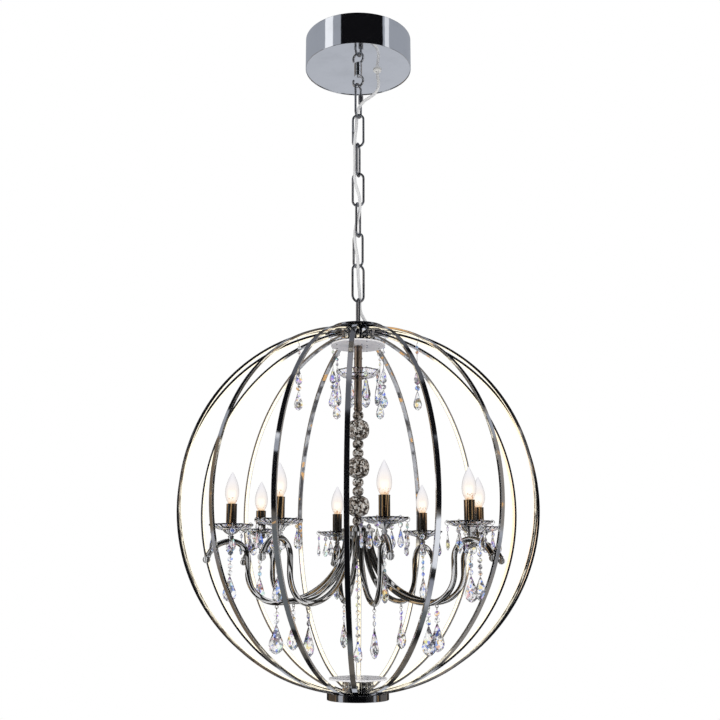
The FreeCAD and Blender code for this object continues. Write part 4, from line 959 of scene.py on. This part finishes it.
class CHANDELIER_OT_canopy(bpy.types.Operator):
    """Drum, collar and hook"""
    bl_idname = "chandelier.canopy"
    bl_label = "Canopy and hook"

    def execute(self, context):
        self.drum()
        self.hook(context.scene.chandelier.chain.wire / 2)
        return {"FINISHED"}

    def drum(self):
        """The drum's wall: down outside, round the rim, the lip that carries the plate, and up inside."""
        low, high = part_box("canopy_shell")
        outer, foot = high.x, low.z
        wall, lip = outer - 0.0015, outer - 0.0085
        under, over = foot + 0.0035, foot + 0.005
        outline = [(wall, 0), (outer, 0), (outer, foot), (wall, foot), (wall, under), (lip, under),
                   (lip, over), (wall, over), (wall, 0)]
        piece("canopy_drum", [lathe(outline, 0.0006, 160)], ["polished_chrome"], "canopy",
              ["canopy_shell"])

    def hook(self, wire):
        """Threaded stem, stepped collar, and the hook: an arc of wire that starts at the collar, runs round
        the belly on the right and ends in a round tip on the left."""
        across = turn(-30)[:3, 0]
        path, swell = domed(arc((0, 0, HOOK_CENTRE), 0.011 + wire, 450, 160, 60, across), wire)
        hook = sweep(path, round_section(wire, 20), np.cross((0, 0, 1), across), swell)
        wide, neck = 0.0095, 0.0086
        collar = lathe([(0, PLATE), (wide, PLATE), (wide, -0.0815), (neck, -0.0822), (neck, -0.0832),
                        (wide, -0.0839), (wide, -0.0925), (0.0085, -0.0935), (0.0034, -0.0935),
                        (wire, -0.0945), (wire, -0.098), (0, -0.098)], 0.0004)
        top = -0.0015
        thread = threaded(0.0047, 0.0003, 0.0015, np.linspace(top, PLATE, 300))
        stem = revolve(np.concatenate([[(0, top)], thread, [(0, PLATE)]]), 32)
        piece("hook_and_collar", [hook, collar, stem], ["polished_chrome"], "canopy", ["hanger_hook"],
              50)


def link_path(length_, width, wire, start):
    """A link's middle line in the plane of X, hung by the middle of its top wire: half ring, leg, half
    ring, leg. It starts on the right leg, start below the top."""
    ring, leg = (width - wire) / 2, length_ - width
    legs = max(int(leg / 0.002), 4)
    return np.concatenate([
        upright(ring, np.linspace(-start, -ring - leg, legs)),
        arc((0, 0, -ring - leg), ring, 0, -180, 28)[1:],
        upright(-ring, np.linspace(-ring - leg, -ring, legs))[1:],
        arc((0, 0, -ring), ring, 180, 0, 28)[1:],
        upright(ring, np.linspace(-ring, -start, legs))[1:]])


class CHANDELIER_OT_chain(bpy.types.Operator):
    """Quick link with its nut, plain links, the large link and the loop on the cap"""
    bl_idname = "chandelier.chain"
    bl_label = "Chain"

    def execute(self, context):
        given = context.scene.chandelier.chain
        wire = given.wire
        levels = [pivot + wire + GAP for pivot in PIVOTS]
        for body, degrees, level in zip(LINK_BODIES, LINK_TURNS, levels[1:]):
            self.link(body, given.link_length, given.link_width, wire, level, degrees)
        self.link("large_link", given.large_length, given.large_width, wire, levels[6], 30)
        self.quick_link(given, levels[0])
        self.loop(given, levels[7])
        return {"FINISHED"}

    def link(self, body, length_, width, wire, level, degrees):
        """A closed link with the slight swell of its weld in the middle of one leg."""
        path = link_path(length_, width, wire, length_ / 2)
        run = along(path)
        weld = np.minimum(run, run[-1] - run)
        swell = 1 + 0.07 * np.exp(-(weld / 0.0022) ** 2)
        form = sweep(path, round_section(wire / 2, 20), swell=swell, closed=True)
        piece(body + "_wire", [form], ["chain_steel"], body, [body],
              places=shift(z=level) @ turn(degrees))

    def quick_link(self, given, level):
        """The open link with a thread on both sides of its mouth, and the fluted nut on the lower one."""
        wire = given.wire
        place = shift(z=level) @ turn(60)
        mouth, half_gap, thread_length, thread_pitch = 0.0412 - wire / 2, 0.00335, 0.012, 0.001
        path = link_path(given.quick_length, given.link_width, wire, mouth)
        run = along(path)
        path = path[(run >= half_gap) & (run <= run[-1] - half_gap)]
        run = along(path)
        path = np.stack([np.interp(np.linspace(0, run[-1], 420), run, path[:, i]) for i in range(3)], -1)
        run = along(path)
        end = np.minimum(run, run[-1] - run)
        swell = np.where(end < thread_length, 0.95 + 0.05 * np.cos(2 * np.pi * end / thread_pitch), 1.0)
        piece("quick_link_wire", [sweep(path, round_section(wire / 2, 18), swell=swell)], ["chain_steel"],
              "quick_link", ["quick_link"], places=place)
        low, high, bore, face, outer = -0.04675, -0.02475, 0.00285, 0.0052, 0.006
        outline = np.array([(bore, low), (face, low), (outer, low + 0.0007), (outer, low + 0.0025),
                            (outer, low + 0.0032), (outer, high - 0.0032), (outer, high - 0.0025),
                            (outer, high - 0.0007), (face, high), (bore, high), (bore, low)])
        depth = np.array([0, 0, 0, 0, 1, 1, 0, 0, 0, 0, 0])
        angle = np.linspace(0, 2 * np.pi, 161)
        flute = np.maximum(0, np.cos(20 * angle)) * 0.0006
        radius = outline[:, :1] - depth[:, None] * flute
        nut = grid(wheel(radius, angle, outline[:, 1:]), paired(angle, outline[:, 1:]))
        piece("quick_link_nut_sleeve", [nut], ["nut_steel"], "quick_link_nut", ["quick_link_nut"],
              places=place @ shift(x=(given.link_width - wire) / 2))

    def loop(self, given, level):
        """Half ring and two legs on a round boss."""
        wire = given.wire / 2
        ring = given.loop_width / 2 - wire
        legs = np.linspace(CAP + 0.004, level - ring, 12)
        path = np.concatenate([upright(ring, legs), arc((0, 0, level - ring), ring, 0, 180, 28)[1:],
                               upright(-ring, legs[::-1])[1:]])
        bow = sweep(path, round_section(wire, 20)).copies(turn(105))
        foot, head = 0.01375, 0.0115
        boss = lathe([(0, CAP), (foot, CAP), (foot, CAP + 0.0035), (head, CAP + 0.005), (0, CAP + 0.005)],
                     0.0008, 48)
        piece("cap_loop", [bow, boss], ["chain_steel"], "orb", ["hub_loop"])


# Orb

class CHANDELIER_OT_bands(bpy.types.Operator):
    """Sixteen bands with their light strips"""
    bl_idname = "chandelier.bands"
    bl_label = "Bands and light strips"

    def execute(self, context):
        given = context.scene.chandelier.orb
        self.bands(given)
        self.strips(given)
        return {"FINISHED"}

    def bands(self, given):
        """A rounded bar along a half circle from hub to hub, with a bent tab and a screw at each end."""
        middle, inner = given.radius - given.band_thickness / 2, given.radius - given.band_thickness
        above, below, tab_depth, tab_length, screw_reach = 0.034, 0.030, 0.003, 0.022, 0.014
        start, end = math.degrees(math.acos(above / middle)), -math.degrees(math.acos(below / middle))
        hoop = sweep(arc((0, 0, 0), middle, start, end, 140),
                     box_section(given.band_thickness, given.band_width, 0.0005))
        tab = box_section(tab_depth, given.band_width, 0.0006)
        upper, lower = above + tab_depth / 2, below + tab_depth / 2
        tabs = [sweep([(upper, 0, inner - tab_length), (upper, 0, inner)], tab),
                sweep([(lower, 0, -inner), (lower, 0, tab_length - inner)], tab)]
        head = revolve([(0.0028, 0), (0.0028, 0.0006), (0.0022, 0.0013), (0.001, 0.0016), (0, 0.0016)], 14, 1)
        screws = head.copies([shift(above + tab_depth, 0, inner - screw_reach) @ turn(90, "y"),
                              shift(below + tab_depth, 0, screw_reach - inner) @ turn(90, "y")])
        for i, sector in enumerate(("front", "right", "rear", "left")):
            azimuths = BAND_AZIMUTHS[(np.arange(4) + 4 * i - 2) % 16]
            piece("band_group_" + sector, [hoop, *tabs, screws], ["band_chrome", "chain_steel"], "orb",
                  ["bands_" + sector], places=round_orb(azimuths))

    def strips(self, given):
        """A low arched section along the inside of each band."""
        inner, half = given.radius - given.band_thickness, 0.5 * given.light_width
        across = np.linspace(-0.5, 0.5, 9)
        rise = given.light_depth * (1 - (2 * across) ** 4)
        arch = np.stack([rise, across * given.light_width], -1)
        section = np.concatenate([arch, [[-0.0002, half], [-0.0002, -half]], arch[:1]])
        piece("light_strip_set", [sweep(arc((0, 0, 0), inner, 79, -79, 120), section)], ["light_diffuser"],
              "orb", ["light_strips"], places=round_orb(BAND_AZIMUTHS))


class CHANDELIER_OT_hubs(bpy.types.Operator):
    """Hubs and white plates above and below"""
    bl_idname = "chandelier.hubs"
    bl_label = "Hubs and plates"

    def execute(self, context):
        given = context.scene.chandelier.orb
        cap, plate, ring = given.cap_radius, given.plate_radius, given.ring_radius
        spool, flange, lip = 0.034, 0.058, ring - 0.0025
        high, low = PLATE_ABOVE[0], PLATE_BELOW[1]
        top = lathe([(0, 0.4051), (cap - 0.0015, 0.4051), (cap, 0.4036), (cap, 0.4006), (spool, 0.4006),
                     (spool, 0.3681), (flange, 0.3681), (flange, high), (0, high)], 0.0006, 96)
        grommet = torus((0.0243, 0.010, 0.4053), 0.0046, 0.0011, "z", 28, 10, 1)
        piece("hub_above", [top, grommet], ["dark_chrome", "grommet"], "orb", ["top_hub"],
              places=shift(z=ORB))
        bottom = lathe([(0, low), (0.030, low), (0.030, -0.4071), (lip, -0.4071), (lip, -0.3951),
                        (ring, -0.3951), (ring, -0.4091), (0.006, -0.4091), (0.006, -0.4111),
                        (0.003, -0.4131), (0, -0.4131)], 0.0006, 96)
        piece("hub_below", [bottom], ["dark_chrome"], "orb", ["bottom_hub"],
              places=shift(z=ORB))
        head = revolve([(0, -0.0002), (0.0021, -0.0002), (0.0021, 0.0003), (0.0014, 0.0007), (0, 0.0008)],
                       12, 1)
        for node, (high, low), face, flip in (("top_plate", PLATE_ABOVE, PLATE_ABOVE[1], turn(180, "x")),
                                              ("bottom_plate", PLATE_BELOW, PLATE_BELOW[0], np.eye(4))):
            disc = lathe([(0, low), (plate, low), (plate, high), (0, high)], 0.001, 96)
            screws = [turn(45 * i + 22) @ shift(x, 0, face) @ flip for i in range(8) for x in (0.052, 0.022)]
            piece(node + "_disc", [disc, head.copies(screws)], ["white_paint", "chain_steel"], "orb", [node],
                  places=shift(z=ORB))
        return {"FINISHED"}


# Column

class CHANDELIER_OT_column(bpy.types.Operator):
    """Tube, rod, crystal balls and the arms' hub"""
    bl_idname = "chandelier.column"
    bl_label = "Column"

    def execute(self, context):
        given = context.scene.chandelier.crystal
        up = shift(z=ORB)
        tube, rod, foot = 0.009, 0.004, -0.0548
        outline = [(0, PLATE_ABOVE[1]), (tube, PLATE_ABOVE[1]), (tube, UPPER_DISH), (0.015, UPPER_DISH),
                   (0.015, 0.2845), (tube, 0.283), (tube, BALLS_TOP), (rod, BALLS_TOP), (rod, foot),
                   (0, foot)]
        inside, outside = 0.0088, 0.0102
        rings = [lathe([(inside, z), (outside, z), (outside, z + 0.003), (inside, z + 0.003)], 0.0008, 40)
                 for z in (0.356, 0.330, 0.214)]
        piece("column_core", [lathe(outline, 0.0005, 48)] + rings, ["bronze_chrome"], "orb", ["column_tube"],
              places=up)
        kinds = {"s": (given.small_ball, 0.020, 12), "B": (given.big_ball, 0.045, 18)}
        level = BALLS_TOP
        balls = []
        for kind in "sBssBssBs":
            radius, height, sides = kinds[kind]
            level -= height
            balls.append(self.cut_ball(radius, height, sides).copies(shift(z=ORB + level)))
        piece("column_balls", balls, ["smoky_crystal"], "orb", ["column_crystals"])
        hub = lathe([(0, -0.045), (0.02035, -0.045), (0.037, -0.0527), (0.037, ARM_START),
                     (0.0126, ARM_START), (0.007, -0.0764), (0.007, -0.0996), (0.0105, -0.1083),
                     (0.0042, HUB_FOOT), (0, HUB_FOOT)], 0.002)
        piece("arm_hub_body", [hub, eye(0, HUB_FOOT)], ["arm_chrome"], "orb", ["arm_hub"],
              places=up)
        return {"FINISHED"}

    def cut_ball(self, radius, height, sides):
        """Triangles between rings whose radii follow a flattened ball."""
        shares = np.linspace(0, 1, 9)
        across = 0.42 + 0.58 * np.sqrt(1 - (2 * shares - 1) ** 2)
        rings = np.stack([radius * across, height * shares], -1)
        return facets(np.concatenate([[[0.0, 0.0]], rings, [[0.0, height]]]), sides)


# Arms and candles

def low_point(given):
    """Distance from the column and height over the orb's middle of the arm's lowest point."""
    return given.root + given.sweep, ARM_START - given.sweep


def crest(given):
    """The same of the arm's highest point, under the candle."""
    x, z = low_point(given)
    return x + given.turn_up + given.crook_inner, z + given.turn_up + given.riser + given.crook_inner


def seats(rise):
    """Places at a rise over the top of each arm, under its candle."""
    arm = bpy.context.scene.chandelier.arm
    x, z = crest(arm)
    return round_orb(ARM_AZIMUTHS, shift(x, 0, z + arm.tube + rise))


class CHANDELIER_OT_arms(bpy.types.Operator):
    """Eight curved arms"""
    bl_idname = "chandelier.arms"
    bl_label = "Arms"

    def execute(self, context):
        given = context.scene.chandelier.arm
        (low_x, low_z), (reach, top) = low_point(given), crest(given)
        rise_x, rise_z = low_x + given.turn_up, low_z + given.turn_up
        path = np.concatenate([
            arc((low_x, 0, ARM_START), given.sweep, 180, 270, 48),
            arc((low_x, 0, rise_z), given.turn_up, 270, 360, 28)[1:],
            upright(rise_x, np.linspace(rise_z, rise_z + given.riser, 6))[1:],
            arc((reach, 0, rise_z + given.riser), given.crook_inner, 180, 90, 24)[1:],
            arc((reach, 0, top - given.crook_outer), given.crook_outer, 90, 15, 24)[1:]])
        heading = path[-1] - path[-2]
        collar_place = shift(*(path[-1] - heading / np.linalg.norm(heading) * given.tip * 0.95))
        tilt = turn(math.degrees(math.atan2(heading[0], heading[2])), "y")
        collar = lathe([(0, -0.0012), (0.0072, -0.0012), (0.0072, 0.0012), (0, 0.0012)], 0.0006, 28)
        foot = ARM_START - 0.009
        root = lathe([(0, foot), (0.0078, foot), (0.0078, ARM_START), (0, ARM_START)], 0.0008, 28)
        forms = [sweep(path, round_section(given.tube, 24)), ball(path[-1], given.tip),
                 collar.copies(collar_place @ tilt), root.copies(shift(x=given.root)),
                 eye(reach, top - given.tube), eye(low_x, low_z - given.tube)]
        for i, azimuth in enumerate(ARM_AZIMUTHS):
            piece("arm_%d_tube" % (i + 1), forms, ["arm_chrome"], "orb", ["arm_%d" % (i + 1)],
                  places=round_orb([azimuth]))
        return {"FINISHED"}


class CHANDELIER_OT_candles(bpy.types.Operator):
    """Cups, sleeves and bulbs"""
    bl_idname = "chandelier.candles"
    bl_label = "Candles"

    def execute(self, context):
        given = context.scene.chandelier.candle
        places = seats(0.0)
        cup = lathe([(0, -0.006), (0.0055, -0.006), (0.0055, 0.0025), (0.0068, 0.0032), (0.0068, 0.0045),
                     (0.0045, 0.0062), (0.0045, 0.0075), (0.0100, 0.0098), (0.0135, 0.0125), (0.0158, 0.0148),
                     (0.017, 0.0158), (0.017, DISH_RISE), (0.009, DISH_RISE), (0.009, 0.0695),
                     (0.0065, 0.0695), (0.0065, 0.0539), (0, 0.0539)], 0.0008, 40)
        piece("cup_set", [cup], ["arm_chrome"], "orb", ["candle_cups"], places=places)
        foot, r = 0.0215, given.sleeve_radius
        high, inside, bead = foot + given.sleeve_height, r - 0.001, r + 0.0003
        sleeve = lathe([(inside, foot + 0.01), (inside, foot), (r, foot), (r, high - 0.0016),
                        (bead, high - 0.0012), (bead, high - 0.0003), (r, high), (inside, high),
                        (inside, foot + 0.01)], 0.0003, 48)
        piece("sleeve_set", [sleeve], ["sleeve_bronze"], "orb", ["candle_sleeves"],
              places=places)
        self.bulbs(given, [place @ shift(z=high + 0.0004) for place in places], places[0][2, 3] + high)
        return {"FINISHED"}

    def bulbs(self, given, places, foot):
        """Glass that swells above the sleeve and runs to a point, on a ridged screw base."""
        r, h = given.bulb_radius, given.bulb_height
        swelling = np.array([(0.70, 0.08), (0.92, 0.20), (1.0, 0.33), (0.97, 0.46), (0.84, 0.60),
                             (0.62, 0.74), (0.38, 0.86), (0.15, 0.96)]) * (r, h)
        glass = through([(0.0062, -0.002), *swelling, (0.0006, h)], 4)
        glass = revolve(np.concatenate([[(0, -0.002)], glass, [(0, h)]]), 36)
        screw = threaded(0.0058, 0.0004, 0.003, np.linspace(-0.0185, -0.003, 60))
        base = revolve(np.concatenate([[(0, -0.0204), (0.003, -0.0200)], screw,
                                       [(0.0062, -0.0015), (0, -0.0015)]]), 24, 1)
        glow = bpy.context.scene.chandelier.colours.glow
        piece("bulb_set", [glass, base], [bulb_glass("bulb_glass", (0.74, 0.73, 0.76), glow, foot, h),
                                          "chain_steel"], "orb", ["bulbs"], places=places)


class CHANDELIER_OT_dishes(bpy.types.Operator):
    """Scalloped dishes of the candles and the upper dish"""
    bl_idname = "chandelier.dishes"
    bl_label = "Crystal dishes"

    def execute(self, context):
        given = context.scene.chandelier.candle
        dish = self.dish(given.dish_radius, given.dish_depth, 0.0095, given)
        piece("candle_dishes", [dish], ["crystal"], "orb", ["bobeches"], 25, seats(DISH_RISE))
        upper = self.dish(given.dish_radius + 0.002, 0.016, 0.0093, given)
        piece("column_dish", [upper], ["crystal"], "orb", ["upper_dish"], 25,
              shift(z=ORB + UPPER_DISH))
        return {"FINISHED"}

    def dish(self, radius, depth, bore, given):
        """A bowl's closed outline carried round the axis. Towards the rim the radius swells with the lobes,
        and the inside is cut by two rays a lobe: radius + bulge |cos| of half the lobes' turns, height less
        a groove. The outline's third number is the share of the groove."""
        glass, flat, rise = 0.0045, 0.019, 0.0045
        outline = np.array([
            (bore, 0, 0), (flat, 0, 0), (radius - 0.0125 + 0.0027, rise, 0), (radius, depth - glass * 0.6, 0),
            (radius, depth, 0.3), (radius - 0.0016, depth, 1), (radius - 0.0115, rise + glass * 0.8, 1),
            (flat, glass, 0.4), (bore, glass, 0), (bore, 0, 0)])
        fine = np.concatenate([np.linspace(a, b, 4, endpoint=False) for a, b in zip(outline, outline[1:])]
                              + [outline[-1:]])
        r, height, groove = fine[:, :1], fine[:, 1:2], fine[:, 2:]
        lobes = given.dish_lobes
        angle = np.linspace(0, 2 * np.pi, lobes * 12 + 1)
        reach = np.clip((r - flat) / (radius - flat), 0, 1)
        lobe = given.dish_bulge * np.abs(np.cos(0.5 * lobes * angle)) * reach ** 2
        ray = 0.0007 * (0.5 + 0.5 * np.cos(2 * lobes * angle)) * groove * reach
        return grid(wheel(r + lobe, angle, height - ray), paired(angle, height))


# Hung crystals

def drop_form(span, width, flatness, sides=8):
    """A flat pear of triangles: rings narrow at the top, widest below the middle, closed at both tips."""
    shares = np.array([0.0, 0.02, 0.15, 0.34, 0.54, 0.72, 0.86, 0.96, 1.0])
    across = np.array([0.0, 0.12, 0.30, 0.56, 0.84, 1.0, 0.80, 0.40, 0.0])
    return facets(np.stack([width / 2 * across, -span * shares], -1), sides, flatness)


def bead_form(radius, thickness):
    """An octagon bead: two flat tables, each joined to the girdle by triangles. It hangs facing front and
    back."""
    half, table = thickness / 2, radius * 0.55
    rings = [(0.0, -half), (table, -half), (radius, 0.0), (table, half), (0.0, half)]
    return facets(rings, 8).copies(turn(90, "x") @ turn(22.5))


def string_forms(kind, number, given):
    """Beads on a pin with a drop below, hung from height 0."""
    radius, pitch, span, width = STRINGS[kind]
    level = -0.0015
    places = [shift(z=level - radius - i * pitch) for i in range(number)]
    beads = bead_form(radius, given.bead).copies(places)
    end = level - number * pitch
    drop = drop_form(span, width, given.flatness).copies(shift(z=end))
    pin = sweep([(0, 0, 0), (0, 0, end - span * 0.12)], round_section(given.wire, 8), paint=1)
    return [beads, drop, pin]


# Kinds of strings: bead radius, pitch, drop length and drop width
STRINGS = {
    "crook": (0.006, 0.014, 0.052, 0.031),
    "low": (0.0065, 0.014, 0.060, 0.034),
    "centre": (0.0055, 0.016, 0.046, 0.021),
    "rim": (0.006, 0.0135, 0.036, 0.017),
    "upper": (0.006, 0.0135, 0.054, 0.022),
}


class CHANDELIER_OT_strings(bpy.types.Operator):
    """Strings that swing: two on each arm and one below the hub"""
    bl_idname = "chandelier.strings"
    bl_label = "Swinging strings"

    def execute(self, context):
        given = context.scene.chandelier.crystal
        arm = context.scene.chandelier.arm
        finishes = ["cut_crystal", "pin_steel"]
        below = EYE_DROP + EYE_RADIUS
        for name, number, (x, z) in (("crook", 4, crest(arm)), ("low", 2, low_point(arm))):
            forms = self.hung(name, number, given)
            for i, azimuth in enumerate(ARM_AZIMUTHS):
                body = "%s_string_%d" % (name, i + 1)
                piece(body + "_crystals", forms, finishes, body, [body],
                      places=round_orb([azimuth], shift(x, 0, z - arm.tube - below)))
        piece("centre_string_crystals", self.hung("centre", 10, given), finishes, "centre_string",
              ["centre_string"], places=shift(z=ORB + HUB_FOOT - below))
        return {"FINISHED"}

    def hung(self, kind, number, given):
        """A string below its ring, measured from the wire that the ring hangs on."""
        ring = EYE_RADIUS
        middle = EYE_WIRE + given.wire + GAP - ring
        forms = [form.copies(shift(z=middle - ring)) for form in string_forms(kind, number, given)]
        return forms + [torus((0, 0, middle), ring, given.wire, "x", paint=1)]


class CHANDELIER_OT_drops(bpy.types.Operator):
    """Short drops round the dishes and on bands near the top"""
    bl_idname = "chandelier.drops"
    bl_label = "Fixed drops"

    def execute(self, context):
        given = context.scene.chandelier.crystal
        candle = context.scene.chandelier.candle
        spots = [turn(60 * (i + 0.5)) @ shift(candle.dish_radius + 0.0005, 0, candle.dish_depth - 0.003)
                 for i in range(6)]
        rim = [outer @ spot for outer in seats(DISH_RISE) for spot in spots]
        upper = [shift(z=ORB + UPPER_DISH) @ turn(45 * (i + 0.5)) @ shift(0.0475, 0, 0.013) for i in range(8)]
        forms = [form.copies(places) for kind, places in (("rim", rim), ("upper", upper))
                 for form in self.ringed(kind, given)]
        piece("drop_set", forms + self.band_drops(given), ["cut_crystal", "pin_steel"], "orb",
              ["hung_drops"])
        return {"FINISHED"}

    def ringed(self, kind, given):
        """A string under the lowest point of its ring, its broad side turned outwards."""
        ring = 0.005
        forms = [form.copies(shift(z=-ring) @ turn(90)) for form in string_forms(kind, 1, given)]
        return forms + [torus((0, 0, 0), ring, given.wire, paint=1)]

    def band_drops(self, given):
        """Two pears and three beads on a long pin, from a ring that goes round a band, across its run."""
        middle, ring = 0.3967, 0.0072
        hanger = torus((0, 0, 0), ring, given.wire, "z", 28, paint=1)
        string = [bead_form(0.004, given.bead).copies([shift(z=-0.008), shift(z=-0.020)]),
                  drop_form(0.038, 0.017, given.flatness).copies(shift(z=-0.058)),
                  bead_form(0.0065, given.bead).copies(shift(z=-0.103)),
                  drop_form(0.044, 0.021, given.flatness).copies(shift(z=-0.110)),
                  sweep([(0, 0, 0), (0, 0, -0.114)], round_section(given.wire, 8), paint=1)]
        forms = []
        for reach, bands in ((0.137, [4, 7, 9, 12]), (0.085, [6, 10])):
            azimuths = BAND_AZIMUTHS[bands]
            height = math.sqrt(middle ** 2 - reach ** 2)
            tilt = math.degrees(math.atan2(height, reach))
            start = shift(reach * (1 - ring / middle), 0, height * (1 - ring / middle))
            forms.append(hanger.copies(round_orb(azimuths, shift(reach, 0, height) @ turn(-tilt, "y"))))
            hung = [place @ start @ turn(105 - azimuth)
                    for place, azimuth in zip(round_orb(azimuths), azimuths)]
            forms += [form.copies(hung) for form in string]
        return forms


class CHANDELIER_OT_carried(bpy.types.Operator):
    """Finishes of the solids that are shown as they are"""
    bl_idname = "chandelier.carried"
    bl_label = "Finishes of the solids"

    def execute(self, context):
        finishes = {
            "canopy_plate": "polished_chrome",
            "cord_bushing": "white_plastic",
            "led_driver": "case_paint",
            "ceiling_bracket": "zinc_steel",
            "stem_nuts": "zinc_steel",
        }
        for name, material in finishes.items():
            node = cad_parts[name]
            node.data.materials.clear()
            node.data.materials.append(finish(material))
        return {"FINISHED"}


STEPS = (CHANDELIER_OT_stage, CHANDELIER_OT_cord, CHANDELIER_OT_canopy, CHANDELIER_OT_chain,
         CHANDELIER_OT_bands, CHANDELIER_OT_hubs, CHANDELIER_OT_column, CHANDELIER_OT_arms,
         CHANDELIER_OT_candles, CHANDELIER_OT_dishes, CHANDELIER_OT_strings, CHANDELIER_OT_drops,
         CHANDELIER_OT_carried)


class CHANDELIER_PT_panel(bpy.types.Panel):
    """Lists the steps and their sizes"""
    bl_idname = "CHANDELIER_PT_panel"
    bl_label = "Orb chandelier"
    bl_space_type = "VIEW_3D"
    bl_region_type = "UI"
    bl_category = "Chandelier"

    def draw(self, context):
        for step in STEPS:
            self.layout.operator(step.bl_idname)
        settings = context.scene.chandelier
        for group in settings.bl_rna.properties.keys():
            values = getattr(settings, group)
            if isinstance(values, bpy.types.PropertyGroup):
                box = self.layout.box()
                box.label(text=group.capitalize())
                for name in values.__annotations__:
                    box.prop(values, name)


CLASSES = (ChainSizes, OrbSizes, ArmSizes, CandleSizes, CrystalSizes, FinishColours, StageSettings,
           ChandelierSettings, *STEPS, CHANDELIER_PT_panel)


def register():
    for item in CLASSES:
        bpy.utils.register_class(item)
    bpy.types.Scene.chandelier = PointerProperty(type=ChandelierSettings)


def unregister():
    del bpy.types.Scene.chandelier
    for item in reversed(CLASSES):
        bpy.utils.unregister_class(item)


def main():
    register()
    for step in STEPS:
        group, name = step.bl_idname.split(".")
        if getattr(getattr(bpy.ops, group), name)() != {"FINISHED"}:
            raise RuntimeError(step.bl_label + " was not made")


if __name__ == "__main__":
    main()
